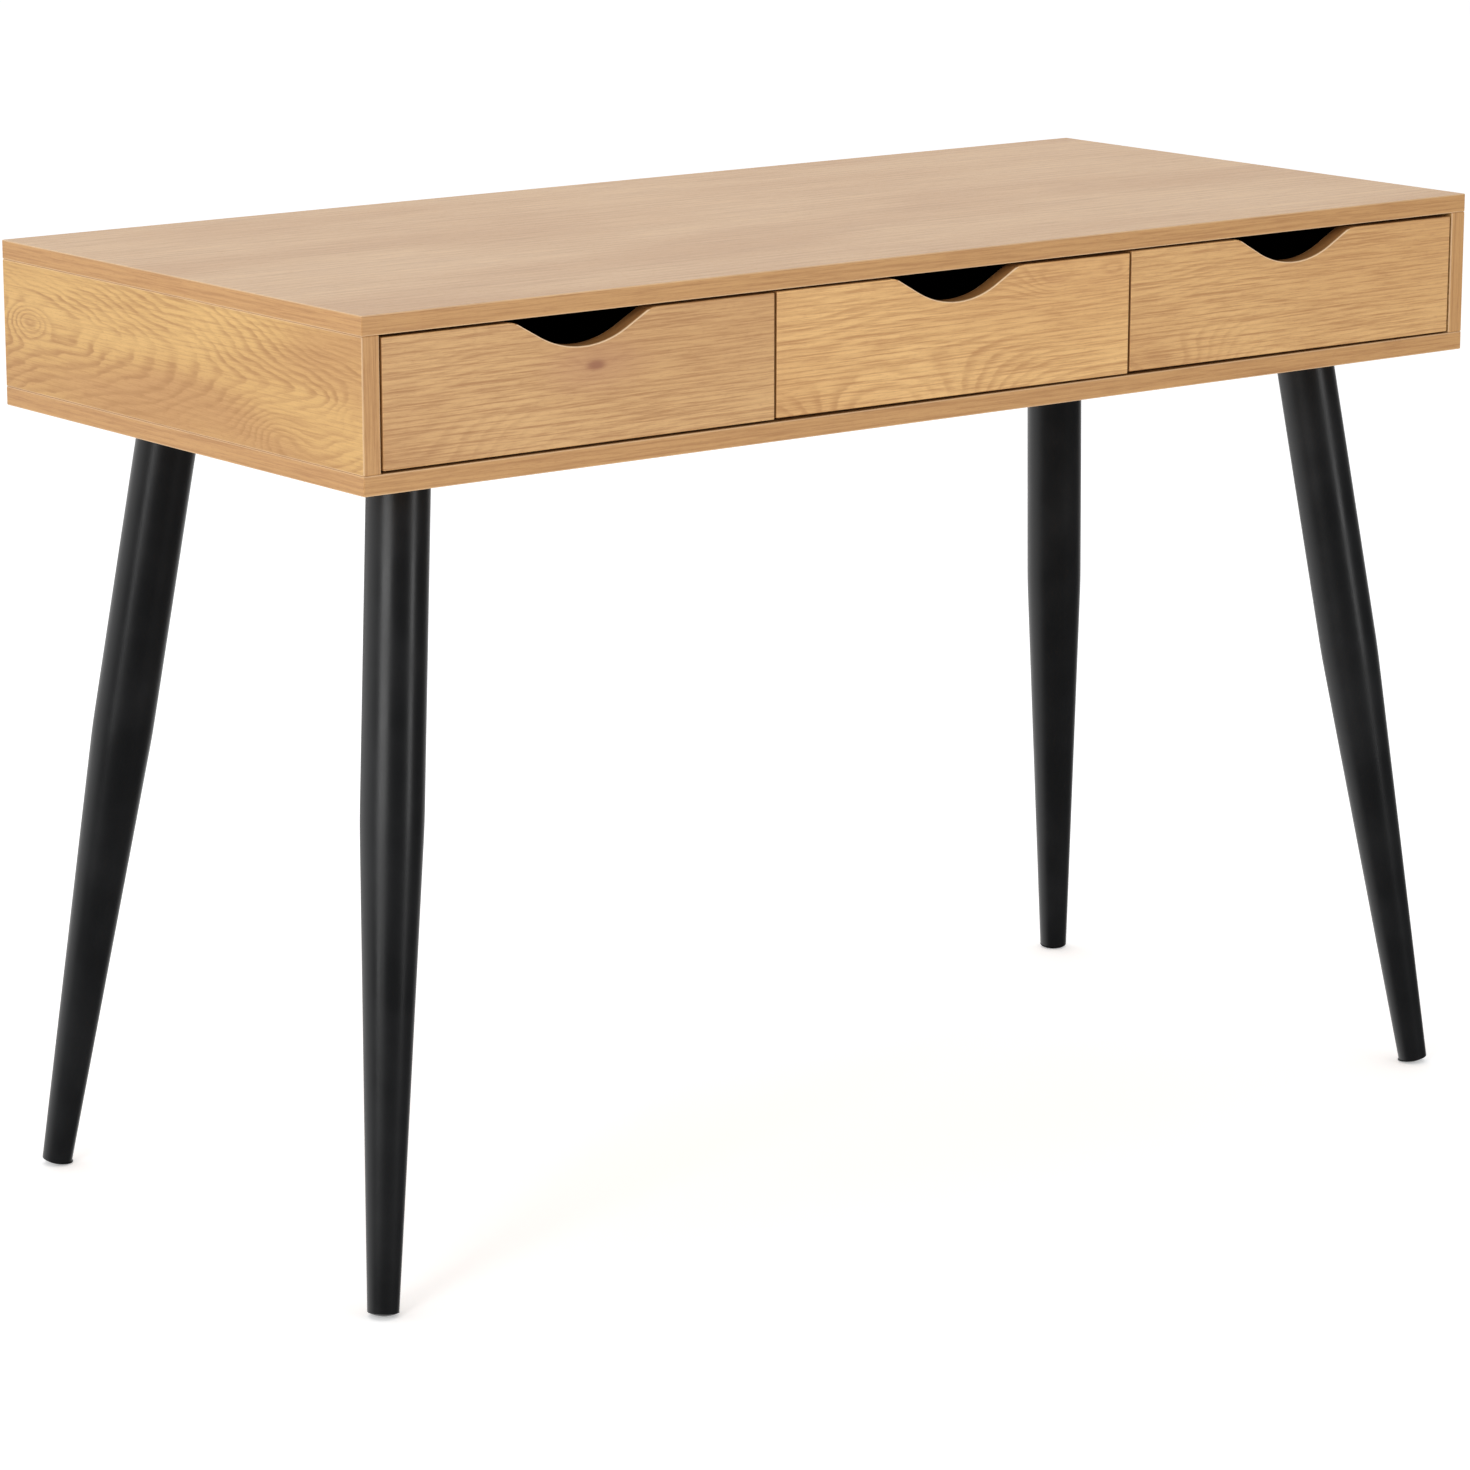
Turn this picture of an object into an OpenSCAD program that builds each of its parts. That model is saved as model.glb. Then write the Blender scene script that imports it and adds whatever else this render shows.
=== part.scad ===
// Writing desk with three drawers on four splayed tapered legs.
// Millimetres. Origin on the floor under the desk's centre, +X right, +Y to the back, +Z up.

/* [Desk] */
// Width of the desktop, left to right
desk_w = 1100; // [900:10:1400]
// Depth of the desktop, front to back
desk_d = 500; // [450:10:650]
// Height of the desktop above the floor
desk_h = 750; // [600:5:900]
// Thickness of every carcass board
board_t = 15; // [15:1:22]
// Clear height between the top and bottom boards
opening_h = 100; // [90:1:160]

/* [Drawer fronts] */
// Gap round each drawer front
front_gap = 2; // [1.5:0.5:4]
// Thickness of a drawer front
front_t = 15; // [15:1:20]
// Width of the finger notch over its shoulders
notch_w = 134; // [100:2:160]
// Depth of the finger notch below the front's top edge
notch_d = 23; // [16:1:28]
// Radius of the wide round bottom of the notch
notch_bottom_r = 62; // [50:1:66]
// Radius of the two shoulders of the notch
notch_shoulder_r = 18; // [10:1:20]

/* [Drawer boxes] */
// Thickness of the drawer sides and back
box_t = 12; // [12:1:15]
// Length of a drawer box behind its front
box_len = 430; // [410:5:560]
// Height of the drawer sides
box_h = 63; // [60:1:110]
// Thickness of the drawer bottom
bottom_t = 3; // [3:0.5:4]
// Gap between a drawer side and the board beside it, which holds the runner
side_clear = 12.5; // [12.5:0.5:14]

/* [Runners] */
// Length of each runner rail
rail_len = 400; // [350:5:420]
// Sheet thickness of the rails
rail_t = 1.2; // [1:0.1:1.5]
// Radius of the runner rollers
roller_r = 10; // [9:0.5:10]
// How far a drawer pulls out before its rollers meet the stops
travel = 300; // [200:5:310]

/* [Legs] */
// Outside diameter of a leg over its straight upper part
leg_top_d = 48; // [40:1:60]
// Outside diameter of a leg at the foot
leg_foot_d = 24; // [20:1:30]
// Wall of the leg tube
leg_wall = 1.5; // [1.2:0.1:2.5]
// Lean of each leg away from upright, towards its corner
leg_splay = 10; // [0:0.5:12]
// Distance from the board's edges to the leg's centre at the top
leg_inset = 93; // [70:1:130]
// Share of the leg's length that is straight before it tapers
leg_straight = 0.42; // [0.1:0.01:0.6]

/* [Hidden] */
$fn = 96;
fit = 0.05;                                // radial room between a round part and its hole
past = 1;                                  // how far a cutter runs past a face

// Levels and faces of the carcass
z_under = desk_h - opening_h - 2 * board_t;
z_floor = z_under + board_t;               // top face of the bottom board
z_ceil = desk_h - board_t;                 // underside of the top board
inner_w = desk_w - 2 * board_t;
y_front = -desk_d / 2;
y_back = desk_d / 2;
side_mid_x = desk_w / 2 - board_t / 2;

// Drawer fronts and boxes
front_w = (inner_w - 4 * front_gap) / 3;
pitch = front_w + front_gap;
front_z0 = z_floor + front_gap;
front_z1 = z_ceil - front_gap;
y_box = y_front + front_t;                 // back face of the fronts
divider_y0 = y_box + 2;
upright_x = [-side_mid_x, -pitch / 2, pitch / 2, side_mid_x];
z_box = z_floor + 10;                      // lower edge of the drawer sides
box_y1 = y_box + box_len;
box_back_y0 = box_y1 - box_t;
groove_z = z_box + 10;
groove_high = bottom_t + 0.2;
groove_deep = box_t / 2;
front_groove = 6;
bottom_room = 0.2;                         // room between the bottom's edge and a groove's floor

// Runners: z of every roller's axis, then the faces its roller runs between
z_roll = z_floor + 22;
roller_x0 = 3.2;
roller_x1 = 8.7;
axle_r = 2.5;
axle_seat_r = 4;
rivet_r = 4.2;
roll_gap = 0.35;
rail_y0 = y_box + 4;
drawer_rail_y0 = y_box + 1;
roller_front_y = rail_y0 + 14;
roller_back_y = drawer_rail_y0 + rail_len - 12;
track_z = z_roll - roller_r - roll_gap;    // rolling face of the cabinet rail
lip_z = z_roll + roller_r + roll_gap;      // underside of the drawer rail's lip
cap_z = lip_z + rail_t + 0.65;             // underside of the cabinet rail's top flange
track_w = 10.5;
track_curb = 2.4;
cap_w = 9.5;
stop_h = 4;
stop_rise = stop_h - roll_gap;
stop_y = roller_back_y - travel - sqrt(2 * roller_r * stop_rise - pow(stop_rise, 2)) - 0.4;
z_box_screw = z_roll + 5;
rail_screw_y = [rail_y0 + 32, rail_y0 + rail_len * 0.52, rail_y0 + rail_len - 30];
box_screw_y = [drawer_rail_y0 + 40, drawer_rail_y0 + rail_len * 0.58, drawer_rail_y0 + rail_len - 45];
rail_slot = [0.2, 0.36, 0.7, 0.82];        // spare holes along the rail, as shares of its length
rail_slot_r = 2.6;

// Fasteners
dowel_r = 4;
dowel_in = 10;                             // dowel's depth in a board's face
dowel_up = 20;                             // dowel's depth in an upright's end
cam_back = 24;                             // board's edge to cam centre
cam_r = 7.5;
cam_deep = board_t / 2 + 4.9;
cam_bolt_r = 2.5;
cam_bolt_in = 10;
cam_bolt_hole_r = 3.6;
box_cam_r = 6;
box_cam_deep = box_t / 2 + 4.2;
box_bolt_hole_r = 3.3;
screw_head_r = 5;
screw_head_t = 3;
screw_shank_r = 3.5;
screw_thread_r = 3;
screw_up = 35;
hex_r = 2.3;
rail_screw_r = 1.75;
rail_screw_len = 7;
box_screw_len = 8;
back_screw_r = 2;
back_screw_in = 22;
back_head_r = 4;
back_head_t = 2.5;
top_cam_y = [y_front + 60, y_back - 60];
top_dowel_y = [y_front + 125, y_back - 125];
low_dowel_y = [y_front + 140, y_back - 160];
low_screw_y = [y_front + 80, y_back - 70];
back_fix_x = [-inner_w / 3, 0, inner_w / 3];
back_fix_y = y_back - board_t / 2;
box_cam_z = [z_box + 24, z_box + box_h - 14];
back_screw_z = [z_box + box_h * 0.52, z_box + box_h - 10];

// Legs
foot_rise = 3;                             // height of the leg tube's end on its axis
dome_r = 25.5;                             // sphere of the glide's underside
leg_len = (z_under - foot_rise) / cos(leg_splay);
leg_r = leg_top_d / 2;
foot_r = leg_foot_d / 2;
plate_t = 6;
leg_bolt_r = 3;
leg_bolt_head_r = 5.5;
bolt_ring_r = min(13, leg_r - leg_wall - 2 * leg_bolt_r);

oak = [0.80, 0.64, 0.44];
inner_board = [0.13, 0.12, 0.11];
black_steel = [0.10, 0.10, 0.11];
rail_metal = [0.86, 0.86, 0.84];
zinc = [0.70, 0.71, 0.72];
nylon = [0.90, 0.90, 0.88];
beech = [0.78, 0.62, 0.42];
dark_plastic = [0.06, 0.06, 0.06];

// Bay number b is -1, 0 or 1 from left to right; s is -1 for a left and 1 for a right hand side.
function bay_x(b, s) = b * s == 1 ? s * inner_w / 2 : (b + s / 2) * pitch - s * board_t / 2;
function box_x(b, s) = bay_x(b, s) - s * side_clear;

module rod_x(x0, x1, r) translate([min(x0, x1), 0, 0]) rotate([0, 90, 0]) cylinder(h = abs(x1 - x0), r = r);
module rod_y(y0, y1, r) translate([0, max(y0, y1), 0]) rotate([90, 0, 0]) cylinder(h = abs(y1 - y0), r = r);
module rod_z(z0, z1, r) translate([0, 0, min(z0, z1)]) cylinder(h = abs(z1 - z0), r = r);

// A box from one corner to the opposite one.
module span(a, b) translate([for (i = [0:2]) min(a[i], b[i])]) cube([for (i = [0:2]) abs(b[i] - a[i])]);

// ---- carcass boards ----

module top_panel() color(oak) difference() {
    span([-desk_w / 2, y_front, z_ceil], [desk_w / 2, y_back, desk_h]);
    for (x = upright_x) {
        for (y = top_cam_y) translate([x, y, 0]) rod_z(z_ceil - past, z_ceil + cam_bolt_in, cam_bolt_r + fit);
        for (y = top_dowel_y) translate([x, y, 0]) rod_z(z_ceil - past, z_ceil + dowel_in, dowel_r + fit);
    }
    for (x = back_fix_x) translate([x, back_fix_y, 0]) rod_z(z_ceil - past, z_ceil + dowel_in, dowel_r + fit);
}

module bottom_panel() color(oak) difference() {
    span([-desk_w / 2, y_front, z_under], [desk_w / 2, y_back, z_floor]);
    for (x = upright_x) {
        for (y = low_screw_y) translate([x, y, 0]) screw_hole_up();
        for (y = low_dowel_y) translate([x, y, 0]) rod_z(z_floor - dowel_in, z_floor + past, dowel_r + fit);
    }
    for (x = back_fix_x) translate([x, back_fix_y, 0]) screw_hole_up();
    each_leg() bolt_ring() rod_z(-past, board_t + past, leg_bolt_r + 0.25);
}

// Hole for a long carcass screw that enters from the underside.
module screw_hole_up() {
    rod_z(z_under - past, z_floor + past, screw_shank_r + fit);
    rod_z(z_under - past, z_under + screw_head_t, screw_head_r + fit);
}

// Upright board. Its cam_side face carries cams near the top, and long screws enter from below.
module upright(x, y0, y1, cam_side) difference() {
    span([x - board_t / 2, y0, z_floor], [x + board_t / 2, y1, z_ceil]);
    for (y = top_cam_y) {
        translate([x, y, 0]) rod_z(z_ceil - cam_back, z_ceil + past, cam_bolt_hole_r);
        translate([x + cam_side * board_t / 2, y, z_ceil - cam_back])
            rod_x(cam_side * past, -cam_side * (cam_deep + 0.1), cam_r + fit);
    }
    for (y = top_dowel_y) translate([x, y, 0]) rod_z(z_ceil - dowel_up, z_ceil + past, dowel_r + fit);
    for (y = low_dowel_y) translate([x, y, 0]) rod_z(z_floor - past, z_floor + dowel_up, dowel_r + fit);
    for (y = low_screw_y) translate([x, y, z_floor]) rod_z(-past, screw_up, screw_thread_r + fit);
    for (b = [-1:1], s = [-1, 1]) if (abs(bay_x(b, s) + s * board_t / 2 - x) < 0.01)
        for (y = rail_screw_y) translate([bay_x(b, s), y, z_roll])
            rod_x(-s * past, s * rail_screw_len, rail_screw_r + fit);
}

module left_side_panel() color(oak) upright(-side_mid_x, y_front, y_back, 1);
module right_side_panel() color(oak) upright(side_mid_x, y_front, y_back, -1);
module left_divider() color(oak) upright(-pitch / 2, divider_y0, y_back - board_t, 1);
module right_divider() color(oak) upright(pitch / 2, divider_y0, y_back - board_t, -1);

module back_panel() color(oak) difference() {
    span([-inner_w / 2, y_back - board_t, z_floor], [inner_w / 2, y_back, z_ceil]);
    for (x = back_fix_x) translate([x, back_fix_y, 0]) {
        rod_z(z_floor - past, z_floor + screw_up, screw_thread_r + fit);
        rod_z(z_ceil - dowel_up, z_ceil + past, dowel_r + fit);
    }
}

// ---- carcass fasteners ----

module carcass_cam_bolts() color(zinc) for (x = upright_x, y = top_cam_y) translate([x, y, z_ceil]) {
    rod_z(0, cam_bolt_in, cam_bolt_r);
    rod_z(-0.8, 0, 3.5);
    rod_z(3 - cam_back, -0.8, 2.2);
    rod_z(-cam_back - 0.5, 3 - cam_back, 3.2);
}

// Cam disc lying in a board's face. Its mouth, at the bolt's own depth in the board, swallows the
// bolt head, and a cross recess turns it.
module cam_disc(r, deep, bolt_x) difference() {
    rod_x(-deep, 0, r);
    translate([-bolt_x, 0, 0]) union() {
        rod_z(-3.4, r + past, 3.4);
        sphere(r = 3.8);
    }
    for (a = [45, 135]) rotate([a, 0, 0]) span([-1.4, -r * 0.5, -0.7], [past, r * 0.5, 0.7]);
}

module carcass_cam_discs() color(zinc) for (x = upright_x, y = top_cam_y) {
    m = x < 0 ? 1 : -1;
    translate([x + m * board_t / 2, y, z_ceil - cam_back]) mirror([m < 0 ? 1 : 0, 0, 0])
        cam_disc(cam_r, cam_deep, board_t / 2);
}

// Long screw with a flat hex-socket head, driven upwards.
module long_screw() difference() {
    union() {
        rod_z(z_under, z_under + screw_head_t, screw_head_r);
        rod_z(z_under + screw_head_t, z_floor, screw_shank_r);
        rod_z(z_floor, z_floor + screw_up - 3, screw_thread_r);
        translate([0, 0, z_floor + screw_up - 3]) cylinder(h = 3, r1 = screw_thread_r, r2 = 1);
    }
    translate([0, 0, z_under - past]) cylinder(h = past + screw_head_t - 0.6, r = hex_r, $fn = 6);
}

module carcass_screws() color(zinc) {
    for (x = upright_x, y = low_screw_y) translate([x, y, 0]) long_screw();
    for (x = back_fix_x) translate([x, back_fix_y, 0]) long_screw();
}

module carcass_dowels() color(beech) {
    for (x = upright_x) {
        for (y = top_dowel_y) translate([x, y, z_ceil]) rod_z(-dowel_up, dowel_in, dowel_r);
        for (y = low_dowel_y) translate([x, y, z_floor]) rod_z(-dowel_in, dowel_up, dowel_r);
    }
    for (x = back_fix_x) translate([x, back_fix_y, z_ceil]) rod_z(-dowel_up, dowel_in, dowel_r);
}

// ---- runners: local x = 0 at the bay's wall, growing towards the drawer ----

module at_wall(b, s) translate([bay_x(b, s), 0, 0]) mirror([s > 0 ? 1 : 0, 0, 0]) children();

module cabinet_rail() {
    rail_y1 = rail_y0 + rail_len;
    difference() {
        union() {
            span([0, rail_y0, track_z - rail_t], [rail_t, rail_y1, cap_z + rail_t]);
            span([0, rail_y0, track_z - rail_t], [track_w, rail_y1, track_z]);
            span([track_w - rail_t, rail_y0, track_z - rail_t], [track_w, rail_y1, track_z + track_curb]);
            span([0, rail_y0 + 30, cap_z], [cap_w, rail_y1, cap_z + rail_t]);
            span([2.4, stop_y - rail_t, track_z], [9, stop_y, track_z + stop_h]);
        }
        for (y = rail_screw_y) translate([0, y, z_roll]) rod_x(-past, rail_t + past, rail_screw_r + fit);
        for (k = rail_slot) translate([0, rail_y0 + k * rail_len, z_roll])
            rod_x(-past, rail_t + past, rail_slot_r);
    }
    translate([0, roller_front_y, z_roll]) {
        rod_x(rail_t, roller_x0 - 0.3, axle_seat_r);
        rod_x(rail_t, roller_x1 + 0.6, axle_r);
        rod_x(roller_x1 + 0.3, roller_x1 + 0.9, rivet_r);
    }
}

module cabinet_rails(b) color(rail_metal) for (s = [-1, 1]) at_wall(b, s) cabinet_rail();
module left_cabinet_rails() cabinet_rails(-1);
module middle_cabinet_rails() cabinet_rails(0);
module right_cabinet_rails() cabinet_rails(1);

module cabinet_rail_screws() color(zinc) for (b = [-1:1], s = [-1, 1]) at_wall(b, s)
    for (y = rail_screw_y) translate([0, y, z_roll]) difference() {
        union() {
            rod_x(-rail_screw_len, rail_t, rail_screw_r);
            rod_x(rail_t, rail_t + 0.85, 3.2);
        }
        for (a = [0, 90]) rotate([a, 0, 0]) span([rail_t + 0.25, -1.8, -0.35], [rail_t + 2, 1.8, 0.35]);
    }

module drawer_rail() {
    x1 = side_clear;
    y1 = drawer_rail_y0 + rail_len;
    difference() {
        union() {
            span([x1 - rail_t, drawer_rail_y0, z_box - rail_t], [x1, y1, lip_z + rail_t]);
            span([x1 - rail_t, drawer_rail_y0, z_box - rail_t], [x1 + box_t, y1, z_box]);
            span([2.6, drawer_rail_y0, lip_z], [x1, y1, lip_z + rail_t]);
        }
        for (y = box_screw_y) translate([x1, y, z_box_screw]) rod_x(-rail_t - past, past, rail_screw_r + fit);
    }
    translate([0, roller_back_y, z_roll]) {
        rod_x(roller_x1 + 0.3, x1 - rail_t, axle_seat_r);
        rod_x(roller_x0 - 0.6, x1 - rail_t, axle_r);
        rod_x(roller_x0 - 0.8, roller_x0 - 0.3, rivet_r);
    }
}

module drawer_rails(b) color(rail_metal) for (s = [-1, 1]) at_wall(b, s) drawer_rail();
module left_drawer_rails() drawer_rails(-1);
module middle_drawer_rails() drawer_rails(0);
module right_drawer_rails() drawer_rails(1);

module roller(b, s, y) color(nylon) at_wall(b, s) translate([0, y, z_roll]) difference() {
    rod_x(roller_x0, roller_x1, roller_r);
    rod_x(roller_x0 - past, roller_x1 + past, axle_r + fit);
    for (a = [0:60:300]) rotate([a, 0, 0]) translate([roller_x1, 6.4, 0]) rod_x(-1.2, past, 1.5);
}

module left_bay_roller_a() roller(-1, -1, roller_front_y);
module left_bay_roller_b() roller(-1, 1, roller_front_y);
module middle_bay_roller_a() roller(0, -1, roller_front_y);
module middle_bay_roller_b() roller(0, 1, roller_front_y);
module right_bay_roller_a() roller(1, -1, roller_front_y);
module right_bay_roller_b() roller(1, 1, roller_front_y);
module left_drawer_roller_a() roller(-1, -1, roller_back_y);
module left_drawer_roller_b() roller(-1, 1, roller_back_y);
module middle_drawer_roller_a() roller(0, -1, roller_back_y);
module middle_drawer_roller_b() roller(0, 1, roller_back_y);
module right_drawer_roller_a() roller(1, -1, roller_back_y);
module right_drawer_roller_b() roller(1, 1, roller_back_y);

// ---- drawers ----

// Finger notch, measured from the middle of the front's top edge: two straight flanks that run
// tangent from small round shoulders into one wide round bottom.
both_r = notch_bottom_r + notch_shoulder_r;
flank = sqrt(pow(notch_w / 2, 2) + pow(both_r - notch_d, 2) - both_r * both_r);
flank_a = atan2(notch_w / 2, both_r - notch_d) - atan2(flank, both_r);
low_t = [notch_bottom_r * sin(flank_a), notch_bottom_r - notch_d - notch_bottom_r * cos(flank_a)];
high_t = [notch_w / 2 - notch_shoulder_r * sin(flank_a), notch_shoulder_r * (cos(flank_a) - 1)];

module notch_cut() {
    difference() {
        translate([0, front_t + past, 0]) rotate([90, 0, 0]) linear_extrude(front_t + 2 * past)
            polygon([[-notch_w / 2, 2], [notch_w / 2, 2], [notch_w / 2, 0], high_t, low_t,
                [-low_t[0], low_t[1]], [-high_t[0], high_t[1]], [-notch_w / 2, 0]]);
        for (m = [-1, 1]) translate([m * notch_w / 2, 0, -notch_shoulder_r])
            rod_y(-2 * past, front_t + 2 * past, notch_shoulder_r);
    }
    intersection() {
        translate([0, 0, notch_bottom_r - notch_d]) rod_y(-past, front_t + past, notch_bottom_r);
        span([-notch_w, -2 * past, -notch_d - 2], [notch_w, front_t + 2 * past, low_t[1] + 0.01]);
    }
}

module drawer_front(b) color(oak) difference() {
    span([b * pitch - front_w / 2, y_front, front_z0], [b * pitch + front_w / 2, y_box, front_z1]);
    translate([b * pitch, y_front, front_z1]) notch_cut();
    for (s = [-1, 1]) for (z = box_cam_z) translate([box_x(b, s) - s * box_t / 2, y_box, z])
        rod_y(-cam_bolt_in, past, cam_bolt_r + fit);
    bottom_groove(b, y_box - front_groove, y_box + past);
}

// Room for the drawer bottom between its two side grooves, from y0 to y1.
module bottom_groove(b, y0, y1)
    span([box_x(b, -1) + box_t - groove_deep, y0, groove_z],
        [box_x(b, 1) - box_t + groove_deep, y1, groove_z + groove_high]);

module drawer_side(b, s) color(inner_board) difference() {
    span([box_x(b, s), y_box, z_box], [box_x(b, s) - s * box_t, box_y1, z_box + box_h]);
    bottom_groove(b, y_box - past, box_back_y0 + groove_deep);
    for (z = box_cam_z) {
        translate([box_x(b, s) - s * box_t / 2, y_box, z]) rod_y(-past, cam_back, box_bolt_hole_r);
        translate([box_x(b, s) - s * box_t, y_box + cam_back, z])
            rod_x(-s * past, s * (box_cam_deep + 0.1), box_cam_r + fit);
    }
    for (y = box_screw_y) translate([box_x(b, s), y, z_box_screw])
        rod_x(s * past, -s * box_screw_len, rail_screw_r + fit);
    for (z = back_screw_z) translate([box_x(b, s), box_back_y0 + box_t / 2, z]) {
        rod_x(s * past, -s * (box_t + past), back_screw_r + fit);
        rod_x(s * past, -s * back_head_t, back_head_r + fit);
    }
}

module drawer_back(b) color(inner_board) difference() {
    span([box_x(b, -1) + box_t, box_back_y0, z_box], [box_x(b, 1) - box_t, box_y1, z_box + box_h]);
    bottom_groove(b, box_back_y0 - past, box_back_y0 + groove_deep);
    for (s = [-1, 1]) for (z = back_screw_z)
        translate([box_x(b, s) - s * box_t, box_back_y0 + box_t / 2, z])
            rod_x(s * past, -s * back_screw_in, back_screw_r + fit);
}

module drawer_bottom(b) color(inner_board)
    span([box_x(b, -1) + box_t - groove_deep + bottom_room, y_box - front_groove + bottom_room,
            groove_z + 0.1],
        [box_x(b, 1) - box_t + groove_deep - bottom_room, box_back_y0 + groove_deep - bottom_room,
            groove_z + 0.1 + bottom_t]);

module drawer_fasteners(b) color(zinc) for (s = [-1, 1]) {
    for (z = box_cam_z) {
        translate([box_x(b, s) - s * box_t / 2, y_box, z]) {
            rod_y(-cam_bolt_in, 0, cam_bolt_r);
            rod_y(0, 0.8, 3.2);
            rod_y(0.8, cam_back - 2.4, 2);
            rod_y(cam_back - 2.4, cam_back + 0.5, 2.9);
        }
        translate([box_x(b, s) - s * box_t, y_box + cam_back, z]) mirror([s < 0 ? 0 : 1, 0, 0])
            rotate([90, 0, 0]) cam_disc(box_cam_r, box_cam_deep, box_t / 2);
    }
    for (z = back_screw_z) translate([box_x(b, s), box_back_y0 + box_t / 2, z]) difference() {
        union() {
            rod_x(0, -s * back_head_t, back_head_r);
            rod_x(-s * back_head_t, -s * (box_t + back_screw_in), back_screw_r);
        }
        for (a = [0, 90]) rotate([a, 0, 0]) span([s, -2.4, -0.45], [-s * 1.4, 2.4, 0.45]);
    }
    for (y = box_screw_y) translate([box_x(b, s), y, z_box_screw]) {
        rod_x(s * rail_t, -s * box_screw_len, rail_screw_r);
        rod_x(s * rail_t, s * (rail_t + 0.9), 3);
    }
}

module left_drawer_front() drawer_front(-1);
module middle_drawer_front() drawer_front(0);
module right_drawer_front() drawer_front(1);
module left_drawer_side_a() drawer_side(-1, -1);
module left_drawer_side_b() drawer_side(-1, 1);
module middle_drawer_side_a() drawer_side(0, -1);
module middle_drawer_side_b() drawer_side(0, 1);
module right_drawer_side_a() drawer_side(1, -1);
module right_drawer_side_b() drawer_side(1, 1);
module left_drawer_back() drawer_back(-1);
module middle_drawer_back() drawer_back(0);
module right_drawer_back() drawer_back(1);
module left_drawer_bottom() drawer_bottom(-1);
module middle_drawer_bottom() drawer_bottom(0);
module right_drawer_bottom() drawer_bottom(1);
module left_drawer_fasteners() drawer_fasteners(-1);
module middle_drawer_fasteners() drawer_fasteners(0);
module right_drawer_fasteners() drawer_fasteners(1);

// ---- legs ----

module leg_place(sx, sy)
    translate([sx * (desk_w / 2 - leg_inset), sy * (desk_d / 2 - leg_inset), z_under])
        rotate([0, 0, atan2(sy, sx)]) children();
module each_leg() for (sx = [-1, 1], sy = [-1, 1]) leg_place(sx, sy) children();
module leaning() rotate([0, -leg_splay, 0]) children();
module bolt_ring() for (a = [0:120:240]) rotate([0, 0, a]) translate([bolt_ring_r, 0, 0]) children();

module leg(sx, sy) color(black_steel) difference() {
    leg_place(sx, sy) leaning() rotate_extrude()
        polygon([[foot_r - leg_wall, -leg_len], [foot_r, -leg_len], [leg_r, -leg_straight * leg_len],
            [leg_r, 20], [leg_r - leg_wall, 20], [leg_r - leg_wall, -leg_straight * leg_len]]);
    span([-desk_w, -desk_d, z_under], [desk_w, desk_d, z_under + 100]);
}

// Disc welded inside the top of each leg, tapped for three bolts.
module leg_top_plates() color(black_steel) each_leg() difference() {
    intersection() {
        leaning() rod_z(-40, 20, leg_r - leg_wall - 0.02);
        span([-60, -60, -plate_t], [60, 60, 0]);
    }
    bolt_ring() rod_z(-plate_t - past, past, leg_bolt_r + fit);
}

module leg_bolts() color(zinc) each_leg() bolt_ring() difference() {
    union() {
        rod_z(-plate_t - 2, board_t, leg_bolt_r);
        rod_z(board_t, board_t + 1, leg_bolt_head_r);
        translate([0, 0, board_t + 1]) cylinder(h = 2.4, r1 = leg_bolt_head_r, r2 = 4);
    }
    translate([0, 0, board_t + 1.2]) cylinder(h = 4, r = hex_r, $fn = 6);
}

module glide(sx, sy) color(dark_plastic) difference() {
    leg_place(sx, sy) leaning() translate([0, 0, -leg_len]) {
        rod_z(0, 18, foot_r - leg_wall - fit);
        intersection() {
            translate([0, 0, sqrt(dome_r * dome_r - foot_r * foot_r)]) sphere(r = dome_r);
            rod_z(-8, 0, foot_r);
        }
    }
    span([-desk_w, -desk_d, -60], [desk_w, desk_d, 0]);
}

module front_left_leg() leg(-1, -1);
module front_right_leg() leg(1, -1);
module back_left_leg() leg(-1, 1);
module back_right_leg() leg(1, 1);
module front_left_glide() glide(-1, -1);
module front_right_glide() glide(1, -1);
module back_left_glide() glide(-1, 1);
module back_right_glide() glide(1, 1);

top_panel();
bottom_panel();
left_side_panel();
right_side_panel();
left_divider();
right_divider();
back_panel();
carcass_cam_bolts();
carcass_cam_discs();
carcass_screws();
carcass_dowels();
left_cabinet_rails();
middle_cabinet_rails();
right_cabinet_rails();
cabinet_rail_screws();
front_left_leg();
front_right_leg();
back_left_leg();
back_right_leg();
leg_top_plates();
leg_bolts();
front_left_glide();
front_right_glide();
back_left_glide();
back_right_glide();
left_bay_roller_a();
left_bay_roller_b();
middle_bay_roller_a();
middle_bay_roller_b();
right_bay_roller_a();
right_bay_roller_b();
left_drawer_front();
left_drawer_side_a();
left_drawer_side_b();
left_drawer_back();
left_drawer_bottom();
left_drawer_rails();
left_drawer_fasteners();
left_drawer_roller_a();
left_drawer_roller_b();
middle_drawer_front();
middle_drawer_side_a();
middle_drawer_side_b();
middle_drawer_back();
middle_drawer_bottom();
middle_drawer_rails();
middle_drawer_fasteners();
middle_drawer_roller_a();
middle_drawer_roller_b();
right_drawer_front();
right_drawer_side_a();
right_drawer_side_b();
right_drawer_back();
right_drawer_bottom();
right_drawer_rails();
right_drawer_fasteners();
right_drawer_roller_a();
right_drawer_roller_b();
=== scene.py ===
"""Looks for a writing desk with three drawers: boards, fronts, legs, glides, rollers and finishes."""

import math

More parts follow.
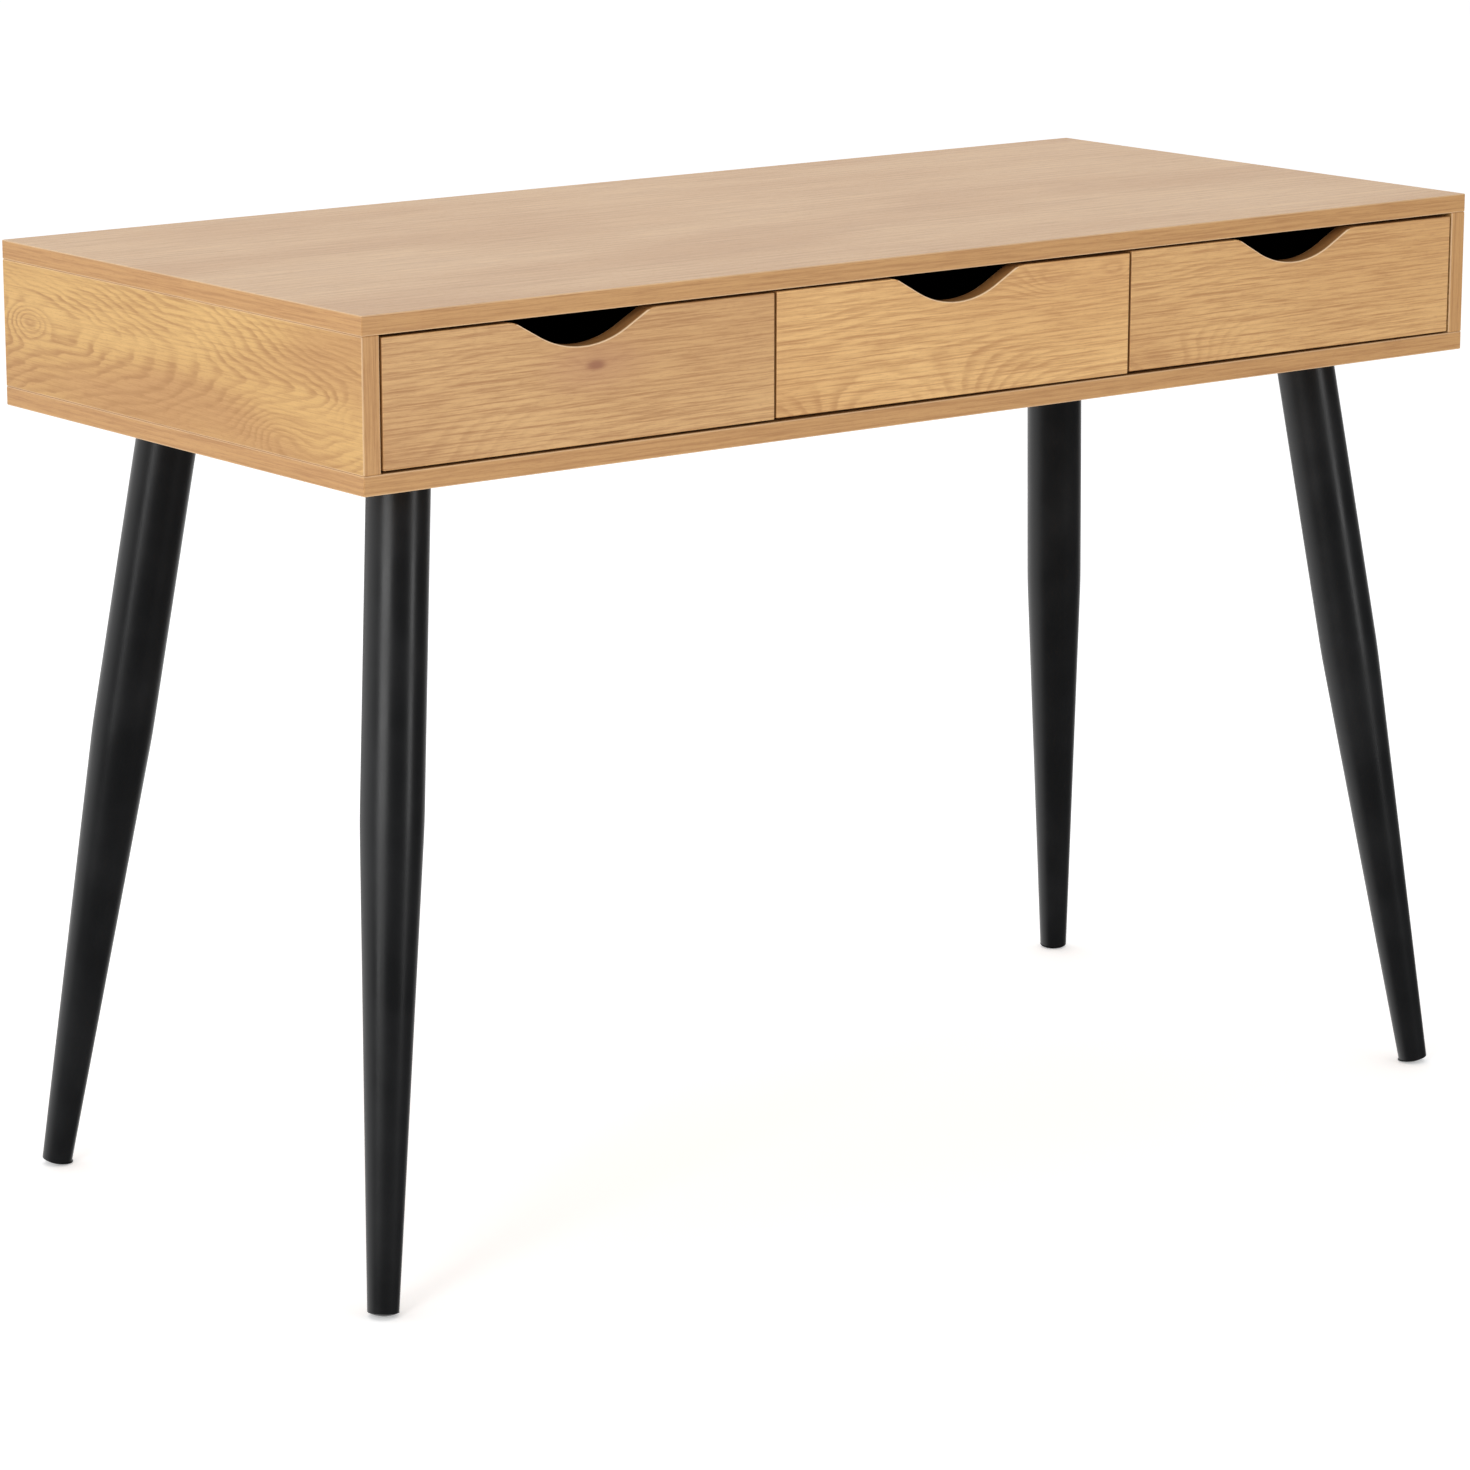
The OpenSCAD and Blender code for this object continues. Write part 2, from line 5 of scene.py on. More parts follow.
import bpy
import numpy as np
from bpy.props import FloatProperty, FloatVectorProperty, PointerProperty
from bpy.types import Operator, Panel, PropertyGroup
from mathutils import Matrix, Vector


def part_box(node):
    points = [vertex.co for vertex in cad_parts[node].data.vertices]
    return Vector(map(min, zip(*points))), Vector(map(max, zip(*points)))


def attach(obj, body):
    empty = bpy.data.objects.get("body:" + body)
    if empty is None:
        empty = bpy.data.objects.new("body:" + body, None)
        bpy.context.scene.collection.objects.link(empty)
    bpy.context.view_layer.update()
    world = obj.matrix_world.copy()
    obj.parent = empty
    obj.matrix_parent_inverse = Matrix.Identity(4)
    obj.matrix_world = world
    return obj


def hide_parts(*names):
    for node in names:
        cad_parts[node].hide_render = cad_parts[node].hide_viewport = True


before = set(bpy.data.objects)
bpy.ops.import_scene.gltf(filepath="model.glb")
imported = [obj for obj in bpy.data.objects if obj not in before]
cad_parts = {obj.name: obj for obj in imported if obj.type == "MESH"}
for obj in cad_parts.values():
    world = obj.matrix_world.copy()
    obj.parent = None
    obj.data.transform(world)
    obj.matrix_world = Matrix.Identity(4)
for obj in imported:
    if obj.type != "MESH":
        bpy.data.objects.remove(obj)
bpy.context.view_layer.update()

bl_info = {
    "name": "Writing Desk Looks",
    "version": (1, 0, 0),
    "blender": (4, 5, 0),
    "location": "3D View > Sidebar > Desk",
    "description": "Dresses a writing desk's frame with eased boards, tapered legs and real finishes",
    "category": "Object",
}

BAYS = ("left", "middle", "right")
CORNERS = ("front_left", "front_right", "back_left", "back_right")
X, Y, Z = 0, 1, 2

BORE_SLACK = 0.0001  # how much wider a bored hole is than its fastener, in radius
BORE_PAST = 0.0004  # how far a cutter passes the end of its fastener
# Shares of a face's normal along a board's thickness: above the first the face belongs to a wide
# side, and between the other two it is part of the easing.
WIDE_SLOPE = 0.7071
EASE_SLOPES = (0.1, 0.99)

# Numbers of a Mix node's sockets, whose labels repeat for every kind of value.
MIX_FACTOR, MIX_VALUES, MIX_COLOURS = 0, (2, 3), (6, 7)
MIX_VALUE_OUT, MIX_COLOUR_OUT = 0, 2


# ---- sizes and colours a user would change ----


def length_setting(name, description, default, low, high):
    """Property for a length in metres."""
    return FloatProperty(name=name, description=description, default=default, min=low, max=high,
                         subtype="DISTANCE", unit="LENGTH", precision=4)


def colour_setting(name, description, default):
    """Property for a colour in linear light."""
    return FloatVectorProperty(name=name, description=description, default=default,
                               size=3, min=0, max=1, subtype="COLOR")


class DeskSizes(PropertyGroup):
    board_ease: length_setting(
        "Board easing", "Radius along the edges of the foiled boards", 0.0009, 0.0002, 0.003)
    inner_ease: length_setting(
        "Inner easing", "Radius along the edges of the drawer box boards", 0.0006, 0.0002, 0.002)
    notch_width: length_setting(
        "Notch width", "Width of a finger notch over its shoulders", 0.134, 0.08, 0.2)
    notch_depth: length_setting(
        "Notch depth", "Depth of a finger notch below the top edge", 0.023, 0.01, 0.04)
    notch_bottom: length_setting(
        "Notch bottom radius", "Radius of the wide round bottom of a notch", 0.08, 0.03, 0.12)
    notch_shoulder: length_setting(
        "Notch shoulder radius", "Radius of the two shoulders of a notch", 0.02, 0.005, 0.04)
    front_hang: FloatProperty(
        name="Front hang", description="Angle by which the middle and right fronts hang out of level",
        default=math.radians(0.22), min=0.0, max=math.radians(0.3), subtype="ANGLE", unit="ROTATION")
    leg_radius: length_setting(
        "Leg radius", "Outside radius of a leg's straight upper part", 0.024, 0.015, 0.04)
    foot_radius: length_setting(
        "Foot radius", "Outside radius of a leg at the foot", 0.012, 0.008, 0.03)
    leg_straight: FloatProperty(
        name="Straight share", description="Share of a leg's length above its taper",
        default=0.42, min=0.1, max=0.6, subtype="FACTOR")


class DeskColours(PropertyGroup):
    oak_light: colour_setting("Oak, light", "Pale early wood of the oak foil", (0.72, 0.455, 0.19))
    oak_middle: colour_setting("Oak, middle", "Body colour of the oak foil", (0.60, 0.345, 0.135))
    oak_line: colour_setting("Oak, line", "Dark late wood lines of the oak foil", (0.42, 0.205, 0.07))
    oak_knot: colour_setting("Oak, knot", "Heart of a knot in the oak foil", (0.33, 0.13, 0.06))
    oak_stain: colour_setting(
        "Oak, stain", "Reddish stain round a knot in the oak foil", (0.50, 0.255, 0.125))
    drawer_foil: colour_setting("Drawer foil", "Dark foil of the drawer boxes", (0.018, 0.016, 0.015))
    leg_coat: colour_setting("Leg coat", "Satin powder coat of the legs", (0.0052, 0.0056, 0.0064))
    rail_coat: colour_setting("Rail coat", "Epoxy coat of the runners", (0.72, 0.72, 0.69))
    floor: colour_setting("Floor", "Plain pale floor of the stage", (0.93, 0.93, 0.93))


# ---- surfaces ----


def arc(centre, radius, start, end, steps):
    """Points at centre + radius * (cos a, sin a), with a running from start to end in degrees."""
    a = np.radians(np.linspace(start, end, steps + 1))
    return np.column_stack([centre[0] + radius * np.cos(a), centre[1] + radius * np.sin(a)])


def rectangle(low, high, corner, steps=3):
    """Rectangle from low to high, anticlockwise, whose four corners are quarter circles."""
    turns = [(low[0], low[1], 1, 1, 180), (high[0], low[1], -1, 1, 270),
             (high[0], high[1], -1, -1, 0), (low[0], high[1], 1, -1, 90)]
    return np.vstack([arc((x + sx * corner, y + sy * corner), corner, a, a + 90, steps)
                      for x, y, sx, sy, a in turns])


def notched_rectangle(low, high, corner, sizes):
    """Rectangle whose top edge dips into a finger notch.

    A wide bottom circle and two shoulder circles are joined by their common inner tangents, so
    the outline runs arc, straight flank, arc, straight flank, arc without a kink.
    """
    plain = rectangle(low, high, corner)
    middle, top = (low[0] + high[0]) / 2, high[1]
    half, deep = sizes.notch_width / 2, sizes.notch_depth
    big, small = sizes.notch_bottom, sizes.notch_shoulder
    both = big + small
    flank = math.sqrt(half ** 2 + (both - deep) ** 2 - both ** 2)
    lean = math.degrees(math.atan2(half, both - deep) - math.atan2(flank, both))
    shoulder_steps, bottom_steps = 10, 28
    right = arc((middle + half, top - small), small, 90, 90 + lean, shoulder_steps)
    bottom = arc((middle, top - deep + big), big, lean - 90, -90 - lean, bottom_steps)
    left = arc((middle - half, top - small), small, 90 - lean, 90, shoulder_steps)
    split = 3 * (len(plain) // 4)  # the notch goes between the third and the fourth corner
    return np.vstack([plain[:split], right, bottom, left, plain[split:]])


def turn_outline(outline, centre, angle):
    """Outline turned about a centre by an angle, anticlockwise."""
    c, s = math.cos(angle), math.sin(angle)
    return (outline - centre) @ np.array([[c, s], [-s, c]]) + centre


def slab(outline, thick, ease, steps=3):
    """Board with eased edges, as points (across, up, depth) and faces.

    The outline is carried along the depth. At angle t from 0 to 90 degrees it is drawn in by
    ease * (1 - sin t) at depth ease * (1 - cos t), and the far face mirrors the near one. Two
    flat caps close it.
    """
    edge = np.roll(outline, -1, 0) - outline
    edge /= np.linalg.norm(edge, axis=1)[:, None]
    out = np.column_stack([edge[:, 1], -edge[:, 0]])
    before = np.roll(out, 1, 0)
    mitre = (out + before) / (1 + (out * before).sum(1))[:, None]
    t = np.linspace(0, np.pi / 2, steps + 1)
    draw_in = ease * (1 - np.sin(t))
    sink = ease * (1 - np.cos(t))
    draw_in = np.concatenate([draw_in, draw_in[::-1]])
    depth = np.concatenate([sink, thick - sink[::-1]])
    rings, count = len(depth), len(outline)
    flat = outline[None] - mitre[None] * draw_in[:, None, None]
    points = np.dstack([flat, np.repeat(depth[:, None], count, 1)]).reshape(-1, 3)
    return points, grid_faces(rings, count) + end_caps(rings, count)


def grid_faces(rows, columns):
    """Quads of a rows by columns grid whose columns close on themselves."""
    i, j = np.meshgrid(np.arange(rows - 1), np.arange(columns), indexing="ij")
    k = (j + 1) % columns
    here, there = i * columns, (i + 1) * columns
    return np.stack([here + j, here + k, there + k, there + j], -1).reshape(-1, 4).tolist()


def end_caps(rows, columns):
    """The two faces that close the first and the last row of such a grid."""
    ring = np.arange(columns)
    return [ring[::-1].tolist(), (ring + (rows - 1) * columns).tolist()]


def turned(profile, steps=48):
    """Solid of revolution about +Z: each (radius, height) of a closed profile is swept in a circle."""
    profile = np.asarray(profile, float)
    a = np.linspace(0, 2 * np.pi, steps, endpoint=False)
    ring = np.column_stack([np.cos(a), np.sin(a)])
    points = np.dstack([profile[:, None, 0:1] * ring[None],
                        np.repeat(profile[:, None, 1:2], steps, 1)]).reshape(-1, 3)
    i = np.arange(steps)
    k = (i + 1) % steps
    last = (len(profile) - 1) * steps
    seam = np.stack([last + i, last + k, k, i], -1).tolist()
    return points, grid_faces(len(profile), steps) + seam


def frame_points(points, origin, across, up, depth):
    """Carries local (across, up, depth) points onto three axis vectors from an origin."""
    axes = np.array([across, up, depth], float)
    return np.asarray(origin, float) + points @ axes


def make_piece(name, points, faces, body, slot_name, *nodes, smooth=False):
    """Mesh object that rides on a body and stands for CAD nodes, which it hides; the slot name is not
    used.
    """
    mesh = bpy.data.meshes.new(name)
    mesh.from_pydata(points.tolist(), [], faces)
    mesh.update()
    if smooth:
        mesh.polygons.foreach_set("use_smooth", np.ones(len(mesh.polygons), bool))
    piece = bpy.data.objects.new(name, mesh)
    bpy.context.scene.collection.objects.link(piece)
    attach(piece, body)
    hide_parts(*nodes)
    return piece


def crease(piece, angle=35.0):
    """Marks edges sharper than the angle, so flats stay flat and rounds stay smooth."""
    piece.data.set_sharp_from_angle(angle=math.radians(angle))


def solids_of(node):
    """Boxes (low, high) of the separate solids in a CAD node, found by spreading the lowest
    corner number over each connected set of triangles until nothing changes."""
    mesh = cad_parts[node].data
    co = np.zeros(len(mesh.vertices) * 3)
    mesh.vertices.foreach_get("co", co)
    spots, same = np.unique(np.round(co.reshape(-1, 3), 6), axis=0, return_inverse=True)
    mesh.calc_loop_triangles()
    tri = np.zeros(len(mesh.loop_triangles) * 3, int)
    mesh.loop_triangles.foreach_get("vertices", tri)
    tri = same.ravel()[tri].reshape(-1, 3)
    label = np.arange(len(spots))
    while True:
        low = label[tri].min(1)
        fresh = label.copy()
        np.minimum.at(fresh, tri.ravel(), np.repeat(low, 3))
        if (fresh == label).all():
            break
        label = fresh
    return [(spots[label == k].min(0), spots[label == k].max(0)) for k in np.unique(label)]


def bore(piece, holes, steps=40):
    """Cuts round holes: each is (centre, axis, radius, half length), with the axis an index."""
    if not holes:
        return
    points, faces = [], []
    for centre, axis, radius, half in holes:
        a = np.linspace(0, 2 * np.pi, steps, endpoint=False)
        ring = np.zeros((2, steps, 3))
        ring[:, :, (axis + 1) % 3] = radius * np.cos(a)
        ring[:, :, (axis + 2) % 3] = radius * np.sin(a)
        ring[0, :, axis] = -half
        ring[1, :, axis] = half
        start = sum(len(p) for p in points)
        points.append(ring.reshape(-1, 3) + np.asarray(centre))
        faces += [[start + k for k in face] for face in grid_faces(2, steps) + end_caps(2, steps)]
    mesh = bpy.data.meshes.new("cutter")
    mesh.from_pydata(np.vstack(points).tolist(), [], faces)
    cutter = bpy.data.objects.new("cutter", mesh)
    bpy.context.scene.collection.objects.link(cutter)
    cut = piece.modifiers.new("Bores", "BOOLEAN")
    cut.object, cut.operation, cut.solver = cutter, "DIFFERENCE", "EXACT"
    graph = bpy.context.evaluated_depsgraph_get()
    result = bpy.data.meshes.new_from_object(piece.evaluated_get(graph))
    piece.modifiers.clear()
    piece.data = result
    bpy.data.objects.remove(cutter)


def lay_grain(piece, along, thick, place=(0.0, 0.0), edge_place=(1.7, 0.9)):
    """Writes the Grain map in metres and the ease mask.

    On the two wide faces u runs along the grain and v across it. On the narrow edges u follows
    the banding's length and v the board's thickness. place shifts the wide faces in the log and
    edge_place the edges, so neighbouring boards show different figure.
    """
    mesh = piece.data
    count = len(mesh.polygons)
    normal = np.zeros(count * 3)
    mesh.polygons.foreach_get("normal", normal)
    normal = normal.reshape(-1, 3)
    size = np.zeros(count, int)
    mesh.polygons.foreach_get("loop_total", size)
    corner = np.zeros(len(mesh.loops), int)
    mesh.loops.foreach_get("vertex_index", corner)
    co = np.zeros(len(mesh.vertices) * 3)
    mesh.vertices.foreach_get("co", co)
    spot = co.reshape(-1, 3)[corner]
    face = np.repeat(np.arange(count), size)
    across = 3 - along - thick
    slope = np.abs(normal)
    wide = slope[:, thick] > WIDE_SLOPE
    end = ~wide & (slope[:, along] > slope[:, across])
    u_axis = np.where(wide, along, np.where(end, across, along))[face]
    v_axis = np.where(wide, across, thick)[face]
    row = np.arange(len(corner))
    uv = np.column_stack([spot[row, u_axis], spot[row, v_axis]])
    uv += np.where(wide[face][:, None], place, edge_place)
    layer = mesh.uv_layers.new(name="Grain")
    layer.data.foreach_set("uv", uv.ravel())
    mesh.polygons.foreach_set("material_index", (~wide).astype(int))
    # The ease mask marks the eased faces, which the oak finishes pale with a painted highlight.
    mask = mesh.attributes.new("ease", "FLOAT", "FACE")
    eased = (slope[:, thick] > EASE_SLOPES[0]) & (slope[:, thick] < EASE_SLOPES[1])
    mask.data.foreach_set("value", eased.astype(float))
    area = np.zeros(count)
    mesh.polygons.foreach_get("area", area)
    tilted, upright, narrow = slope.max(1) < 0.9999, slope[:, thick] < 0.01, area < 2e-5
    mesh.polygons.foreach_set("use_smooth", tilted | upright & narrow)


def clear_outer_edge_highlight(piece, level, middle, half, reach=0.05):
    """Keeps the ease mask, which carries the painted edge highlight, along the notch, down to the
    reach below the level and within half of the middle, and clears it round the outside of a
    front, so the gaps read dark."""
    mesh = piece.data
    spot = np.zeros(len(mesh.polygons) * 3)
    mesh.polygons.foreach_get("center", spot)
    spot = spot.reshape(-1, 3)
    x, z = spot[:, X], spot[:, Z]
    notch = (z < level) & (np.abs(x - middle) < half) & (z > level - reach)
    mask = mesh.attributes["ease"].data
    value = np.zeros(len(mesh.polygons), np.float32)
    mask.foreach_get("value", value)
    mask.foreach_set("value", value * notch)


# ---- node helpers ----


def is_socket(value):
    """Whether a value is another node's output, to be linked, or else a plain value to be set."""
    return isinstance(value, bpy.types.NodeSocket)


def put(tree, kind, inputs=(), **settings):
    """Adds a node, applies its settings and fills its inputs by name or number."""
    node = tree.nodes.new(kind)
    for key, value in settings.items():
        setattr(node, key, value)
    pairs = inputs.items() if isinstance(inputs, dict) else enumerate(inputs)
    for key, value in pairs:
        if is_socket(value):
            tree.links.new(value, node.inputs[key])
        else:
            node.inputs[key].default_value = value
    return node


def calc(tree, operation, *values):
    """Result of one math operation on values or sockets."""
    return put(tree, "ShaderNodeMath", values, operation=operation).outputs[0]


def scaled(tree, vector, factors):
    """Vector stretched by a factor along each axis."""
    return put(tree, "ShaderNodeVectorMath", [vector, factors], operation="MULTIPLY").outputs[0]


def noise(tree, vector, detail=2.0, rough=0.5):
    """Smooth noise from 0 to 1 with cells one unit wide."""
    return put(tree, "ShaderNodeTexNoise",
               {"Vector": vector, "Scale": 1.0, "Detail": detail, "Roughness": rough}).outputs["Fac"]


def fade(tree, value, low, high, to_low=0.0, to_high=1.0):
    """Smooth step of value from low to high, sent to to_low and to_high."""
    return put(tree, "ShaderNodeMapRange",
               {"Value": value, "From Min": low, "From Max": high, "To Min": to_low, "To Max": to_high},
               interpolation_type="SMOOTHSTEP").outputs["Result"]


def blend(tree, factor, a, b, mode="MIX"):
    """Colour that goes from a to b with the factor."""
    ends = [c if is_socket(c) else (*c, 1.0) for c in (a, b)]
    inputs = {MIX_FACTOR: factor, **dict(zip(MIX_COLOURS, ends))}
    return put(tree, "ShaderNodeMix", inputs, data_type="RGBA", blend_type=mode).outputs[MIX_COLOUR_OUT]


def mixed_value(tree, factor, a, b):
    """Value that goes from a to b with the factor."""
    inputs = {MIX_FACTOR: factor, **dict(zip(MIX_VALUES, (a, b)))}
    return put(tree, "ShaderNodeMix", inputs, data_type="FLOAT").outputs[MIX_VALUE_OUT]


def new_group(name, inputs, outputs):
    """Empty shader node group; inputs are (name, kind, default) and outputs (name, kind)."""
    tree = bpy.data.node_groups.new(name, "ShaderNodeTree")
    for label, kind, default in inputs:
        socket = tree.interface.new_socket(name=label, in_out="INPUT", socket_type=kind)
        if default is not None:
            socket.default_value = default
    for label, kind in outputs:
        tree.interface.new_socket(name=label, in_out="OUTPUT", socket_type=kind)
    return tree, tree.nodes.new("NodeGroupInput").outputs, tree.nodes.new("NodeGroupOutput").inputs


def use_group(tree, group, inputs):
    """Outputs of a node group placed in a tree."""
    return put(tree, "ShaderNodeGroup", inputs, node_tree=group).outputs


def new_material(name):
    """Material with only an output, and its tree."""
    material = bpy.data.materials.new(name)
    material.use_nodes = True
    material.node_tree.nodes.clear()
    return material, material.node_tree


def finish_material(tree, colour, roughness, height=None, strength=0.3, distance=0.0002, **fixed):
    """Principled surface from a colour, a roughness and a bump height; fixed values go straight
    on the shader's own sockets."""
    shader = put(tree, "ShaderNodeBsdfPrincipled", {"Base Color": colour, "Roughness": roughness})
    for key, value in fixed.items():
        shader.inputs[key.replace("_", " ")].default_value = value
    if height is not None:
        bump = put(tree, "ShaderNodeBump",
                   {"Strength": strength, "Distance": distance, "Height": height})
        tree.links.new(bump.outputs[0], shader.inputs["Normal"])
    put(tree, "ShaderNodeOutputMaterial", {"Surface": shader.outputs[0]})


def paint(piece, *looks):
    """Gives a piece its finish; a second one goes on a board's narrow edges."""
    mesh = piece.data
    marks = np.zeros(len(mesh.polygons), np.int32)
    mesh.polygons.foreach_get("material_index", marks)
    mesh.materials.clear()
    for look in looks:
        mesh.materials.append(look)
    mesh.polygons.foreach_set("material_index", np.minimum(marks, len(looks) - 1))


# ---- shared effects ----


def oak_grain_group():
    """Figure of a flat-sawn oak board.

    Annual rings are cones round the pith, so at (u, v) the ring number is the distance
    sqrt(v^2 + depth(u)^2), plus rise * (0.3 - u) for the taper, over the ring gap. Depth is how
    far the cut runs above the pith. Slow noise bends v and depth, which turns straight lines into
    cathedral arches near v = 0, and rise sharpens them to nested points.
    """
    tree, given, result = new_group(
        "Oak grain",
        [("Place", "NodeSocketVector", None), ("Ring gap", "NodeSocketFloat", 0.006),
         ("Pith depth", "NodeSocketFloat", 0.03), ("Waviness", "NodeSocketFloat", 1.0),
         ("Rise", "NodeSocketFloat", 0.0), ("Bend", "NodeSocketFloat", 0.0)],
        [("Line", "NodeSocketFloat"), ("Streak", "NodeSocketFloat"), ("Pore", "NodeSocketFloat"),
         ("Cloud", "NodeSocketFloat")])
    place = given["Place"]
    along, across = put(tree, "ShaderNodeSeparateXYZ", [place]).outputs[:2]
    taper_start = 0.3  # the u at which the taper adds nothing

    def stretched_noise(per_u, per_v, detail=2.0, rough=0.5):
        """Noise with per_u cells a metre along the grain and per_v across it."""
        return noise(tree, scaled(tree, place, (per_u, per_v, 1.0)), detail, rough)

    # The bend of v: a broad sway and a finer one, both round 0.
    broad = calc(tree, "SUBTRACT", stretched_noise(2.2, 6.0), 0.5)
    middle = calc(tree, "SUBTRACT", stretched_noise(11.0, 40.0, 3.0), 0.5)
    sway = calc(tree, "ADD", calc(tree, "MULTIPLY", broad, 0.085), calc(tree, "MULTIPLY", middle, 0.016))
    bent = calc(tree, "ADD", across, calc(tree, "MULTIPLY", sway, given["Waviness"]))
    # The distance from the pith, and from it the ring number with a jagged edge.
    swell = stretched_noise(3.1, 2.0, 1.0)
    depth = calc(tree, "MULTIPLY", given["Pith depth"], fade(tree, swell, 0.3, 0.7, 0.15, 2.2))
    radius = calc(tree, "SQRT", calc(tree, "ADD", calc(tree, "MULTIPLY", bent, bent),
                                     calc(tree, "MULTIPLY", depth, depth)))
    taper = calc(tree, "MULTIPLY", calc(tree, "SUBTRACT", taper_start, along), given["Rise"])
    radius = calc(tree, "ADD", calc(tree, "ADD", radius, taper), given["Bend"])
    jag = calc(tree, "MULTIPLY", stretched_noise(34.0, 420.0), 0.3)
    ring = calc(tree, "ADD", calc(tree, "DIVIDE", radius, given["Ring gap"]), jag)
    # A late wood line darkens slowly through a ring and ends sharply; it is stronger in some
    # places than in others and broken into dashes.
    turn = calc(tree, "FRACT", ring)
    line = calc(tree, "MULTIPLY", fade(tree, turn, 0.28, 0.78), fade(tree, turn, 0.82, 1.0, 1.0, 0.0))
    power = fade(tree, stretched_noise(6.0, 30.0), 0.33, 0.62, 0.15, 1.0)
    dash = fade(tree, stretched_noise(22.0, 260.0), 0.35, 0.62, 0.5, 1.0)
    line = calc(tree, "MULTIPLY", calc(tree, "MULTIPLY", line, power), dash)
    # Long and short fibre streaks, open pores and slow changes of colour.
    streaks = mixed_value(tree, 0.42, stretched_noise(8.0, 430.0, 3.0, 0.6),
                          stretched_noise(34.0, 900.0, 3.0, 0.6))
    streak = fade(tree, streaks, 0.43, 0.64)
    pore = fade(tree, stretched_noise(150.0, 2300.0, rough=0.6), 0.55, 0.7)
    cloud = stretched_noise(2.4, 9.0)
    for label, socket in (("Line", line), ("Streak", streak), ("Pore", pore), ("Cloud", cloud)):
        tree.links.new(socket, result[label])
    return tree


def knot_group():
    """Knot: pushes the rings aside by push * exp(-d^2), with d the distance to the heart over
    the size, marks the heart where d is small and a stained halo that fades out at d = 3."""
    tree, given, result = new_group(
        "Oak knot",
        [("Place", "NodeSocketVector", None), ("Heart", "NodeSocketVector", None),
         ("Size", "NodeSocketFloat", 0.015), ("Push", "NodeSocketFloat", 0.02)],
        [("Bend", "NodeSocketFloat"), ("Eye", "NodeSocketFloat"), ("Halo", "NodeSocketFloat")])
    away = put(tree, "ShaderNodeVectorMath", [given["Place"], given["Heart"]], operation="SUBTRACT")
    away = scaled(tree, away.outputs[0], (0.42, 1.0, 0.0))  # longer along the grain than across it
    length = put(tree, "ShaderNodeVectorMath", [away], operation="LENGTH").outputs["Value"]
    d = calc(tree, "DIVIDE", length, given["Size"])
    bell = calc(tree, "EXPONENT", calc(tree, "MULTIPLY", calc(tree, "MULTIPLY", d, d), -1.0))
    tree.links.new(calc(tree, "MULTIPLY", bell, given["Push"]), result["Bend"])
    tree.links.new(fade(tree, d, 0.12, 0.55, 1.0, 0.0), result["Eye"])
    tree.links.new(fade(tree, d, 0.3, 3.0, 1.0, 0.0), result["Halo"])
    return tree


def mottle_group():
    """Fine speckle and slow cloud in Object coordinates, for coats and plastics."""
    tree, given, result = new_group(
        "Coat mottle",
        [("Place", "NodeSocketVector", None), ("Speck size", "NodeSocketFloat", 0.001)],
        [("Speck", "NodeSocketFloat"), ("Cloud", "NodeSocketFloat")])
    fine = put(tree, "ShaderNodeVectorMath", {0: given["Place"], "Scale": 1.0}, operation="SCALE")
    tree.links.new(calc(tree, "DIVIDE", 1.0, given["Speck size"]), fine.inputs["Scale"])
    tree.links.new(noise(tree, fine.outputs[0], 3.0), result["Speck"])
    tree.links.new(noise(tree, scaled(tree, given["Place"], (14.0, 14.0, 14.0)), 3.0), result["Cloud"])
    return tree


def shared(name, build):
    """The named group, built the first time it is asked for."""
    return bpy.data.node_groups.get(name) or build()


# ---- finishes ----


